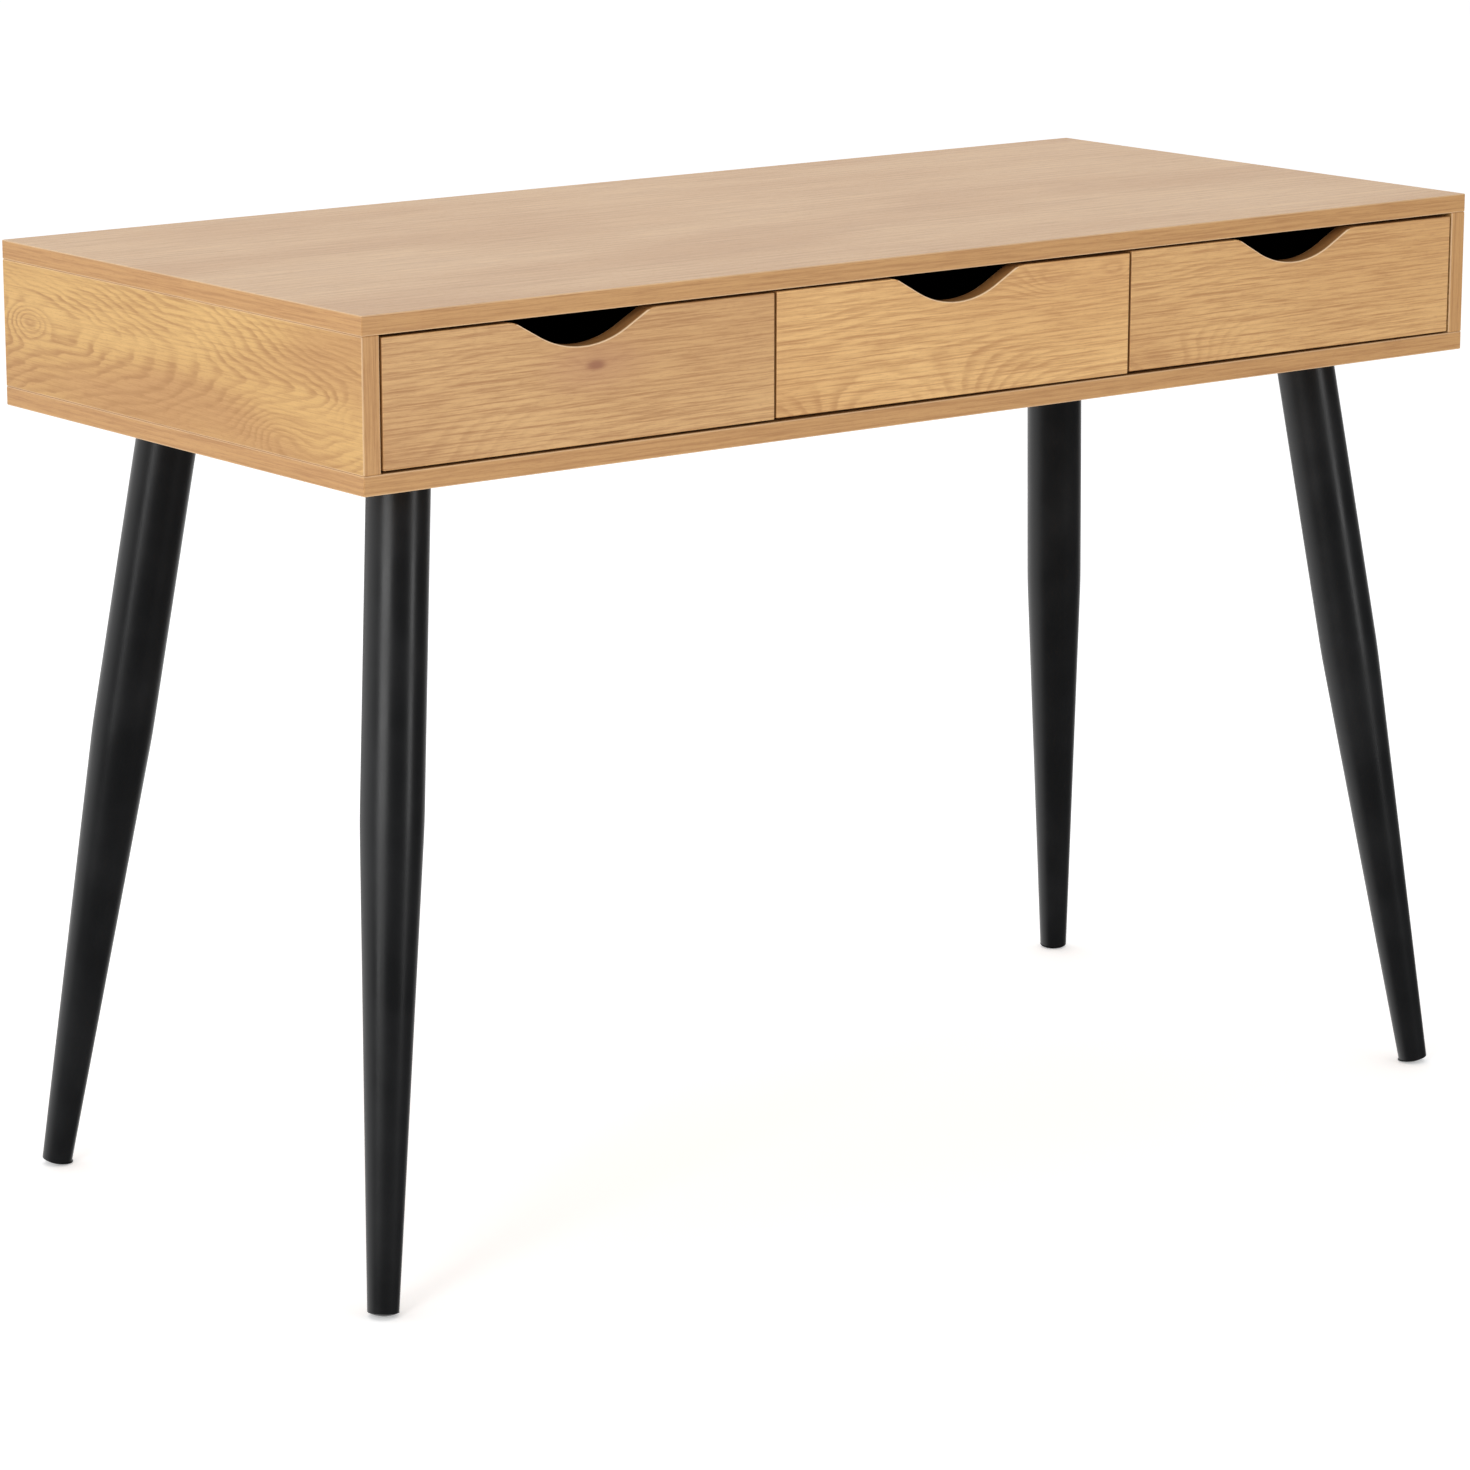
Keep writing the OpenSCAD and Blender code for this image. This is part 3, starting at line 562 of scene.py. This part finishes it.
def oak_material(name, ring_gap=0.006, pith_depth=0.03, waviness=1.0, rise=0.0, line=0.55,
                 streak=0.4, warm=0.0, stain=0.0, tint=None, knots=(), edge_highlight=0.35):
    """Oak-look foil on the Grain map, whose lengths are in metres.

    warm blends the body colour in evenly and stain the reddish one in clouds; tint multiplies the
    result; the last argument is how strongly a painted highlight pales the eased edges. knots are
    (u, v, size, push, heart strength).
    """
    colours = bpy.context.scene.desk_colours
    material, tree = new_material(name)
    place = put(tree, "ShaderNodeUVMap", uv_map="Grain").outputs[0]
    bend, heart, halo = 0.0, 0.0, 0.0
    for u, v, size, push, strength in knots:
        knot = use_group(tree, shared("Oak knot", knot_group),
                         {"Place": place, "Heart": (u, v, 0.0), "Size": size, "Push": push})
        bend = calc(tree, "ADD", knot["Bend"], bend)
        heart = calc(tree, "ADD", calc(tree, "MULTIPLY", knot["Eye"], strength), heart)
        halo = calc(tree, "ADD", calc(tree, "MULTIPLY", knot["Halo"], strength * 0.55), halo)
    grain = use_group(tree, shared("Oak grain", oak_grain_group),
                      {"Place": place, "Ring gap": ring_gap, "Pith depth": pith_depth,
                       "Waviness": waviness, "Rise": rise, "Bend": bend})
    cloud, line_colour = grain["Cloud"], colours.oak_line[:]
    colour = blend(tree, fade(tree, cloud, 0.35, 0.68), colours.oak_light[:], colours.oak_middle[:])
    if warm:
        colour = blend(tree, warm, colour, colours.oak_middle[:])
    if stain:
        colour = blend(tree, fade(tree, cloud, 0.45, 0.66, 0.0, stain), colour, colours.oak_stain[:])
    colour = blend(tree, calc(tree, "MULTIPLY", grain["Streak"], streak), colour, line_colour)
    colour = blend(tree, calc(tree, "MULTIPLY", grain["Line"], line), colour, line_colour)
    colour = blend(tree, calc(tree, "MULTIPLY", grain["Pore"], 0.28), colour, colours.oak_knot[:])
    if knots:
        colour = blend(tree, halo, colour, colours.oak_stain[:])
        colour = blend(tree, heart, colour, colours.oak_knot[:])
    if tint:
        colour = blend(tree, 1.0, colour, tint, "MULTIPLY")
    # Painted highlight: the eased edges are paled towards a light oak colour, for the light their
    # rounding catches.
    ease = put(tree, "ShaderNodeAttribute", attribute_name="ease").outputs["Fac"]
    edge_highlight_colour = (0.88, 0.66, 0.42)
    colour = blend(tree, calc(tree, "MULTIPLY", ease, edge_highlight), colour, edge_highlight_colour)
    rough = calc(tree, "ADD", 0.40, calc(tree, "ADD", calc(tree, "MULTIPLY", grain["Pore"], 0.14),
                                         calc(tree, "MULTIPLY", cloud, 0.08)))
    height = calc(tree, "SUBTRACT", calc(tree, "MULTIPLY", grain["Line"], 0.15), grain["Pore"])
    finish_material(tree, colour, rough, height, strength=0.35, distance=0.00012)
    return material


def foil_material(name, base, rough_low, rough_high, speck=0.0012):
    """Plain foil, board or plastic with a faint press texture, on Object coordinates."""
    material, tree = new_material(name)
    place = put(tree, "ShaderNodeTexCoord").outputs["Object"]
    mottle = use_group(tree, shared("Coat mottle", mottle_group), {"Place": place, "Speck size": speck})
    light = [min(1.0, c * 1.35 + 0.004) for c in base]
    colour = blend(tree, fade(tree, mottle["Speck"], 0.35, 0.7), base, light)
    dark = [c * 0.8 for c in base]
    colour = blend(tree, fade(tree, mottle["Cloud"], 0.4, 0.8, 0.0, 0.3), colour, dark)
    rough = fade(tree, mottle["Cloud"], 0.3, 0.7, rough_low, rough_high)
    finish_material(tree, colour, rough, mottle["Speck"], strength=0.25, distance=0.0001)
    return material


def powder_coat(name, base):
    """Satin powder coat: fine orange-peel relief, slightly uneven gloss, faint dusting."""
    material, tree = new_material(name)
    place = put(tree, "ShaderNodeTexCoord").outputs["Object"]
    peel = use_group(tree, shared("Coat mottle", mottle_group), {"Place": place, "Speck size": 0.0011})
    dusted = [c * 1.5 + 0.002 for c in base]
    colour = blend(tree, fade(tree, peel["Cloud"], 0.35, 0.75), base, dusted)
    rough = calc(tree, "ADD", fade(tree, peel["Cloud"], 0.3, 0.7, 0.27, 0.35),
                 calc(tree, "MULTIPLY", peel["Speck"], 0.06))
    finish_material(tree, colour, rough, peel["Speck"], strength=0.22, distance=0.00012,
                    Specular_IOR_Level=0.42)
    return material


def metal_material(name, base, rough_low, rough_high, metallic, streaked):
    """Plated or coated sheet metal; streaked stretches the mottle along the rolling direction."""
    material, tree = new_material(name)
    place = put(tree, "ShaderNodeTexCoord").outputs["Object"]
    if streaked:
        place = scaled(tree, place, (1.0, 0.06, 1.0))
    mottle = use_group(tree, shared("Coat mottle", mottle_group), {"Place": place, "Speck size": 0.0009})
    dulled = [c * 0.82 for c in base]
    colour = blend(tree, fade(tree, mottle["Cloud"], 0.35, 0.7), base, dulled)
    rough = calc(tree, "ADD", fade(tree, mottle["Cloud"], 0.3, 0.7, rough_low, rough_high),
                 calc(tree, "MULTIPLY", mottle["Speck"], 0.08))
    finish_material(tree, colour, rough, mottle["Speck"], strength=0.15, distance=0.00008,
                    Metallic=metallic)
    return material


# ---- operators ----


def board(name, body, slot_name, nodes, along, thick, ease, outline=None, **grain):
    """Replaces a CAD board by an eased slab on the same box, bored where its fasteners show.

    along and thick are the axes of its grain and of its thickness; grain holds the holes and the
    places that lay_grain takes.
    """
    low, high = (np.array(c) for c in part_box(nodes[0]))
    plane = {Z: ((1, 0, 0), (0, 1, 0), (0, 0, 1)), Y: ((1, 0, 0), (0, 0, 1), (0, -1, 0)),
             X: ((0, 1, 0), (0, 0, 1), (1, 0, 0))}[thick]
    if outline is None:
        a, b = {Z: (X, Y), Y: (X, Z), X: (Y, Z)}[thick]
        outline = rectangle((low[a], low[b]), (high[a], high[b]), ease)
    points, faces = slab(outline, high[thick] - low[thick], ease)
    origin = np.zeros(3)
    origin[thick] = high[thick] if thick == Y else low[thick]
    piece = make_piece(name, frame_points(points, origin, *plane), faces, body, slot_name, *nodes)
    bore(piece, grain.pop("holes", []))
    lay_grain(piece, along, thick, **grain)
    return piece


def fastener_holes(node, low, high, axis, face, near=1e-4):
    """Holes for the solids of a fastener node that reach the given face of a board's box."""
    holes = []
    for first, last in solids_of(node):
        centre = (first + last) / 2
        others = [k for k in range(3) if k != axis]
        inside = all(low[k] < centre[k] < high[k] for k in others)
        if inside and first[axis] - near < face < last[axis] + near:
            radius = max(last[k] - first[k] for k in others) / 2 + BORE_SLACK
            holes.append((centre, axis, radius, (last[axis] - first[axis]) / 2 + BORE_PAST))
    return holes


class DESK_OT_carcass(Operator):
    """Builds the foiled carcass boards with eased edges and their bored fittings"""

    bl_idname = "desk.carcass"
    bl_label = "Carcass boards"

    def execute(self, context):
        ease = context.scene.desk_sizes.board_ease
        # Painted sheen: the top's pale, bluish tint stands in for the white room that the top reflects
        # at a grazing angle.
        straight = oak_material("Oak top painted sheen", ring_gap=0.011, waviness=0.5, line=0.34, streak=0.62,
                                warm=0.35, tint=(1.0, 1.07, 1.4))
        banding = oak_material("Oak plain", ring_gap=0.005, waviness=0.3, line=0.35, streak=0.7,
                               warm=0.95, tint=(0.93, 0.87, 0.81))
        plain = oak_material("Oak inner", ring_gap=0.006, waviness=0.5, line=0.6, streak=0.6,
                             tint=(0.98, 0.92, 0.86))
        figured = oak_material(
            "Oak side", ring_gap=0.0064, pith_depth=0.007, waviness=1.25, rise=0.2, line=0.85,
            streak=0.5, stain=0.5, tint=(0.955, 0.925, 0.765),
            knots=((0.212, 0.006, 0.012, 0.03, 0.12), (-0.135, -0.036, 0.016, 0.022, 0.0),
                   (-0.24, -0.006, 0.012, 0.02, 0.05)))
        low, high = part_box("left_side_panel")
        middle = (low.z + high.z) / 2
        top = board("top_board", "carcass", "oak_foil", ["top_panel"], X, Z, ease, place=(0.3, 1.0))
        paint(top, straight, banding)
        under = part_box("bottom_panel")[0].z
        heads, head_depth = [], 0.003
        for first, last in solids_of("carcass_screws"):
            centre = (first + last) / 2
            radius = (last[X] - first[X]) / 2 + BORE_SLACK
            heads.append(((centre[X], centre[Y], under), Z, radius, head_depth))
        base = board("bottom_board", "carcass", "oak_foil", ["bottom_panel"], X, Z, ease,
                     place=(2.3, 1.4), edge_place=(4.1, 1.2), holes=heads)
        paint(base, banding, banding)
        for side, sign in (("left", -1), ("right", 1)):
            side_place = (0.0 if sign < 0 else 3.3, -middle)
            for part, name, look, place, edge_place in (
                    ("side_panel", "side_board", figured, side_place, (0.6 + sign, 1.1)),
                    ("divider", "divider_board", plain, (5.0 + sign, 0.3), (5.6 + sign, 1.3))):
                node = f"{side}_{part}"
                low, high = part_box(node)
                inner_face = high.x if sign < 0 else low.x
                holes = fastener_holes("carcass_cam_discs", low, high, X, inner_face)
                piece = board(f"{side}_{name}", "carcass", "oak_foil", [node], Y, X, ease,
                              place=place, edge_place=edge_place, holes=holes)
                paint(piece, look, banding)
        piece = board("back_board", "carcass", "oak_foil", ["back_panel"], X, Y, ease, place=(7.0, 0.35))
        paint(piece, plain, banding)
        return {"FINISHED"}


class DESK_OT_fronts(Operator):
    """Builds the three drawer fronts with their finger notches"""

    bl_idname = "desk.fronts"
    bl_label = "Drawer fronts"

    def execute(self, context):
        sizes = context.scene.desk_sizes
        ease, hang = sizes.board_ease, sizes.front_hang
        # Painted shade: the dark tint on the fronts' narrow edges and notch flanks stands in for the
        # shade in the notch and in the gaps; their eased strips take a strong painted highlight.
        rim = oak_material("Oak notch painted shade", ring_gap=0.004, waviness=0.3, line=0.3, streak=0.6, warm=1.0,
                           tint=(0.58, 0.5, 0.42), edge_highlight=0.7)
        figures = {
            "left": {
                "ring_gap": 0.005, "line": 0.4, "tint": (0.93, 0.88, 0.88),
                "knots": ((0.011, 0.076, 0.01, 0.01, 0.85), (-0.15, 0.012, 0.04, 0.03, 0.0))},
            "middle": {
                "ring_gap": 0.0062, "line": 0.62, "tint": (1.09, 1.05, 0.99),
                "knots": ((-0.063, 0.008, 0.042, 0.06, 0.0), (0.100, 0.098, 0.014, 0.024, 0.1),
                          (0.162, 0.1, 0.011, 0.02, 0.1))},
            "right": {
                "ring_gap": 0.0046, "line": 0.42, "tint": (1.0, 0.945, 0.9),
                "knots": ((-0.14, 0.014, 0.032, 0.034, 0.0),)},
        }
        above_pith = 0.018  # how far a front's lower edge lies above the middle of the log
        for number, (bay, lean) in enumerate(zip(BAYS, (0.0, -hang, -hang))):
            node = f"{bay}_drawer_front"
            low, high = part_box(node)
            middle = (low.x + high.x) / 2
            outline = notched_rectangle((low.x, low.z), (high.x, high.z), ease, sizes)
            outline = turn_outline(outline, (middle, (low.z + high.z) / 2), lean)
            piece = board(f"{bay}_front_board", f"{bay}_drawer", "oak_foil", [node], X, Y, ease,
                          outline=outline, place=(-middle, above_pith - low.z),
                          edge_place=(number * 0.7, 1.9))
            # Each front's eased edges take a strong painted highlight; below, it is kept only along the
            # notch.
            face = oak_material(f"Oak front {bay}", pith_depth=0.02, waviness=0.5, streak=0.75,
                                edge_highlight=0.7, **figures[bay])
            clear_outer_edge_highlight(piece, high.z - ease * 2, middle, sizes.notch_width / 2)
            paint(piece, face, rim)
        return {"FINISHED"}


class DESK_OT_boxes(Operator):
    """Builds the drawer boxes: sides, back and thin bottom"""

    bl_idname = "desk.boxes"
    bl_label = "Drawer boxes"

    def execute(self, context):
        ease = context.scene.desk_sizes.inner_ease
        colours = context.scene.desk_colours
        dark = colours.drawer_foil[:]
        foil = foil_material("Drawer foil", dark, 0.5, 0.62)
        thin = foil_material("Drawer bottom", [c * 1.2 for c in dark], 0.6, 0.75, speck=0.002)
        shallow = 0.006  # cutters longer than this belong to fittings bored from the edge
        for bay in BAYS:
            body = f"{bay}_drawer"
            for letter in "ab":
                node = f"{bay}_drawer_side_{letter}"
                low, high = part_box(node)
                holes = []
                for face in (low.x, high.x):
                    holes += fastener_holes(f"{bay}_drawer_fasteners", low, high, X, face)
                piece = board(f"{bay}_box_side_{letter}", body, "drawer_board", [node], Y, X, ease,
                              holes=[hole for hole in holes if hole[3] < shallow])
                paint(piece, foil, foil)
            for part, look, along, thick in (("back", foil, X, Y), ("bottom", thin, X, Z)):
                node = f"{bay}_drawer_{part}"
                slot_name = "hardboard" if part == "bottom" else "drawer_board"
                piece = board(f"{bay}_box_{part}", body, slot_name, [node], along, thick, ease)
                paint(piece, look, look)
        return {"FINISHED"}


class DESK_OT_legs(Operator):
    """Builds the four tapered leg tubes, cut level under the carcass"""

    bl_idname = "desk.legs"
    bl_label = "Legs"

    def execute(self, context):
        sizes = context.scene.desk_sizes
        coat = powder_coat("Leg coat", context.scene.desk_colours.leg_coat[:])
        for name in CORNERS:
            top, way, length = axis_of(name, sizes)
            points, faces = leg_surface(top, way, length, sizes)
            piece = make_piece(f"{name}_leg_tube", points, faces, "carcass", "black_steel",
                               f"{name}_leg", smooth=True)
            crease(piece)
            paint(piece, coat)
        paint(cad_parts["leg_top_plates"], coat)
        return {"FINISHED"}


def axis_of(name, sizes):
    """Top centre, unit direction downwards and length of a leg's axis.

    The tube's box gives the level cut at the top and the rim at the foot. With lean angle s the
    cut is an ellipse of half lengths r and r / cos s along the diagonal, so the box's inner top
    corner lies a known way from the centre.
    """
    low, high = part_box(f"{name}_leg")
    glide_low, glide_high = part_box(f"{name}_glide")
    side = np.array([1 if "right" in name else -1, 1 if "back" in name else -1], float)
    foot = np.array([(glide_low.x + glide_high.x) / 2, (glide_low.y + glide_high.y) / 2])
    radius = sizes.leg_radius
    inner = np.array([low.x if side[0] > 0 else high.x, low.y if side[1] > 0 else high.y])
    drop = high.z - glide_low.z
    lean, rounds = math.radians(10.0), 4  # a first guess, made exact over the rounds
    for _ in range(rounds):
        reach = radius * math.sqrt(0.5 + 0.5 / math.cos(lean) ** 2)
        top = inner + side * reach
        lean = math.atan2(float(np.linalg.norm(foot - top)), drop - (glide_high.z - glide_low.z) / 2)
    way = np.array([*(side / math.sqrt(2) * math.sin(lean)), -math.cos(lean)])
    rim = sizes.foot_radius * math.sin(lean)
    length = (high.z - (low.z + rim)) / math.cos(lean)
    return np.array([*top, high.z]), way, length


def leg_surface(top, way, length, sizes):
    """Tapered tube: at distance s down the axis the radius is constant over the straight share
    and then falls evenly to the foot, where a small quarter circle turns it in. The top ring
    starts at the s where each line of the surface meets the level of the cut."""
    steps, ease, wall = 72, 0.0008, 0.0015
    soft, inside = 0.012, 0.02  # half length of the soft knee, depth of the hollow at the foot
    a = np.linspace(0, 2 * np.pi, steps, endpoint=False)
    side = np.cross(way, (0.0, 0.0, 1.0))
    side /= np.linalg.norm(side)
    other = np.cross(side, way)
    ring = np.outer(np.cos(a), side) + np.outer(np.sin(a), other)
    r0, r1 = sizes.leg_radius, sizes.foot_radius
    knee = length * sizes.leg_straight
    taper = (r0 - r1) / (length - knee)
    bend = np.linspace(-1, 1, 7)
    turn = np.linspace(0, np.pi / 2, 5)
    down = np.concatenate([knee + soft * bend, length - ease + ease * np.sin(turn),
                           [length, length - inside]])
    radii = np.concatenate([r0 - taper * soft * (bend + 1) ** 2 / 4, r1 - ease * (1 - np.cos(turn)),
                            [r1 - wall, r1 - wall + taper * inside]])
    start = r0 * ring[:, Z] / -way[Z]
    inner = (r0 - wall) * ring[:, Z] / -way[Z]
    rows = [top + np.outer(inner, way) + (r0 - wall) * ring, top + np.outer(start, way) + r0 * ring]
    rows += [top + way * s + r * ring for s, r in zip(down, radii)]
    faces = grid_faces(len(rows), steps) + end_caps(len(rows), steps)
    if np.dot(np.cross(ring[0], ring[1]), way) < 0:
        faces = [face[::-1] for face in faces]
    return np.vstack(rows), faces


class DESK_OT_glides(Operator):
    """Finishes the domed glides at the ends of the legs in plastic"""

    bl_idname = "desk.glides"
    bl_label = "Glides"

    def execute(self, context):
        plastic = foil_material("Glide plastic", [0.012, 0.012, 0.012], 0.4, 0.5, speck=0.0008)
        for name in CORNERS:
            paint(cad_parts[f"{name}_glide"], plastic)
        return {"FINISHED"}


class DESK_OT_runners(Operator):
    """Builds the nylon rollers and finishes the runner rails"""

    bl_idname = "desk.runners"
    bl_label = "Runners"

    def execute(self, context):
        coat = metal_material("Rail coat", context.scene.desk_colours.rail_coat[:], 0.3, 0.42,
                              metallic=0.0, streaked=True)
        nylon = foil_material("Roller nylon", [0.74, 0.74, 0.71], 0.35, 0.45, speck=0.0007)
        for bay in BAYS:
            for kind in ("cabinet", "drawer"):
                paint(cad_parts[f"{bay}_{kind}_rails"], coat)
            for kind in ("bay", "drawer"):
                for letter in "ab":
                    node = f"{bay}_{kind}_roller_{letter}"
                    low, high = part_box(node)
                    points, faces = turned(roller_profile((high.z - low.z) / 2, high.x - low.x))
                    centre = ((low.x + high.x) / 2, (low.y + high.y) / 2, (low.z + high.z) / 2)
                    points = frame_points(points, centre, (0, 1, 0), (0, 0, 1), (1, 0, 0))
                    piece = make_piece(f"{node}_wheel", points, faces, node, "nylon", node, smooth=True)
                    crease(piece)
                    paint(piece, nylon)
        return {"FINISHED"}


def roller_profile(radius, width):
    """Half section of a roller: a bored hub, a thinner web and a rim with rounded shoulders."""
    axle, hub_wall, rim_wall, web_step, slope, corner = 0.00255, 0.0017, 0.0022, 0.0009, 0.0004, 0.0008
    half, hub, rim = width / 2, axle + hub_wall, radius - rim_wall
    web = half - web_step
    low = [(axle, -half), (hub, -half), (hub + slope, -web), (rim, -web), (rim + slope, -half)]
    low += [(radius - corner + corner * math.sin(t), -half + corner * (1 - math.cos(t)))
            for t in np.linspace(0, np.pi / 2, 5)]
    return low + [(r, -h) for r, h in reversed(low)]


class DESK_OT_fittings(Operator):
    """Finishes the screws, bolts, cams and dowels"""

    bl_idname = "desk.fittings"
    bl_label = "Fittings"

    def execute(self, context):
        zinc = metal_material("Zinc plate", (0.62, 0.63, 0.64), 0.28, 0.42,
                              metallic=1.0, streaked=False)
        beech = foil_material("Beech dowel", [0.56, 0.36, 0.17], 0.6, 0.7, speck=0.0016)
        names = ["carcass_cam_bolts", "carcass_cam_discs", "carcass_screws", "cabinet_rail_screws",
                 "leg_bolts"]
        for name in names + [f"{bay}_drawer_fasteners" for bay in BAYS]:
            paint(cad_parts[name], zinc)
        paint(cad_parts["carcass_dowels"], beech)
        return {"FINISHED"}


class DESK_OT_stage(Operator):
    """Lays the plain pale floor and sets the soft studio light and the camera"""

    bl_idname = "desk.stage"
    bl_label = "Stage"

    def execute(self, context):
        scene = context.scene
        size = 60.0
        mesh = bpy.data.meshes.new("floor")
        corners = [(-size, -size, 0), (size, -size, 0), (size, size, 0), (-size, size, 0)]
        mesh.from_pydata(corners, [], [(0, 1, 2, 3)])
        floor = bpy.data.objects.new("floor", mesh)
        scene.collection.objects.link(floor)
        material, tree = new_material("Floor")
        finish_material(tree, (*scene.desk_colours.floor, 1.0), 0.9, Specular_IOR_Level=0.0,
                        Emission_Color=(1.0, 1.0, 1.0, 1.0), Emission_Strength=0.36)
        paint(floor, material)
        floor.visible_glossy = False
        light_room(scene)
        set_camera(scene)
        scene.view_settings.view_transform = "Standard"
        return {"FINISHED"}


def light_room(scene):
    """White room whose reflection is dimmer in front, three softboxes and two strips that show
    only in gloss."""
    world = bpy.data.worlds.new("Studio")
    scene.world = world
    world.use_nodes = True
    tree = world.node_tree
    tree.nodes.clear()
    ray = put(tree, "ShaderNodeLightPath").outputs
    way = put(tree, "ShaderNodeTexCoord").outputs["Generated"]
    y = put(tree, "ShaderNodeSeparateXYZ", [way]).outputs[1]
    mirror = fade(tree, y, -0.1, 0.7, 0.1, 1.0)
    strength = mixed_value(tree, ray["Is Glossy Ray"], 0.71, mirror)
    strength = mixed_value(tree, ray["Is Camera Ray"], strength, 1.0)
    glow = put(tree, "ShaderNodeBackground", {"Color": (1.0, 1.0, 1.0, 1.0), "Strength": strength})
    put(tree, "ShaderNodeOutputWorld", {"Surface": glow.outputs[0]})
    softbox("Key", (-4.4, -2.0, 2.0), wide=1.2, tall=3.2, power=62.0)
    softbox("Fill", (1.5, -3.9, 1.4), wide=0.6, tall=2.6, power=8.0)
    softbox("Overhead", (0.3, 1.2, 3.6), wide=3.5, tall=3.5, power=33.0)
    left = softbox("Left sheen", (-4.0, -0.75, 1.5), wide=0.6, tall=3.0, power=40.0)
    right = softbox("Right sheen", (1.3, -4.0, 1.4), wide=0.6, tall=3.0, power=32.0)
    left.visible_diffuse = right.visible_diffuse = False


def softbox(name, spot, wide, tall, power):
    """Rectangular area light at a spot, facing the middle of the desk."""
    data = bpy.data.lights.new(name, "AREA")
    data.shape, data.size, data.size_y, data.energy = "RECTANGLE", wide, tall, power
    lamp = bpy.data.objects.new(name, data)
    lamp.location = spot
    aim = Vector((0.0, 0.0, 0.4)) - Vector(spot)
    lamp.rotation_euler = aim.to_track_quat("-Z", "Y").to_euler()
    bpy.context.scene.collection.objects.link(lamp)
    return lamp


def set_camera(scene):
    """Long lens from the front left, a little above the desktop."""
    data = bpy.data.cameras.new("Camera")
    data.sensor_width = 36.0
    data.lens = 128.7
    camera = bpy.data.objects.new("Camera", data)
    camera.location = (-2.593, -3.309, 1.307)
    camera.rotation_euler = (math.radians(76.81), 0.0, math.radians(-37.84))
    scene.collection.objects.link(camera)
    bpy.context.scene.camera = camera


class DESK_PT_looks(Panel):
    """Lists the desk's sizes, colours and build steps"""

    bl_label = "Writing Desk"
    bl_idname = "DESK_PT_looks"
    bl_space_type = "VIEW_3D"
    bl_region_type = "UI"
    bl_category = "Desk"

    def draw(self, context):
        layout = self.layout
        for group in (context.scene.desk_sizes, context.scene.desk_colours):
            column = layout.column(align=True)
            for key in group.bl_rna.properties.keys():
                if key not in {"rna_type", "name"}:
                    column.prop(group, key)
        for step in STEPS:
            layout.operator(step.bl_idname)


STEPS = (DESK_OT_carcass, DESK_OT_fronts, DESK_OT_boxes, DESK_OT_legs, DESK_OT_glides,
         DESK_OT_runners, DESK_OT_fittings, DESK_OT_stage)
CLASSES = (DeskSizes, DeskColours, *STEPS, DESK_PT_looks)


def register():
    """Registers the classes and hangs the two groups of settings on the scene."""
    for cls in CLASSES:
        bpy.utils.register_class(cls)
    bpy.types.Scene.desk_sizes = PointerProperty(type=DeskSizes)
    bpy.types.Scene.desk_colours = PointerProperty(type=DeskColours)


def unregister():
    """Undoes register."""
    del bpy.types.Scene.desk_colours
    del bpy.types.Scene.desk_sizes
    for cls in reversed(CLASSES):
        bpy.utils.unregister_class(cls)


def main():
    """Builds every piece and the stage in order."""
    register()
    bpy.ops.desk.carcass()
    bpy.ops.desk.fronts()
    bpy.ops.desk.boxes()
    bpy.ops.desk.legs()
    bpy.ops.desk.glides()
    bpy.ops.desk.runners()
    bpy.ops.desk.fittings()
    bpy.ops.desk.stage()


if __name__ == "__main__":
    main()
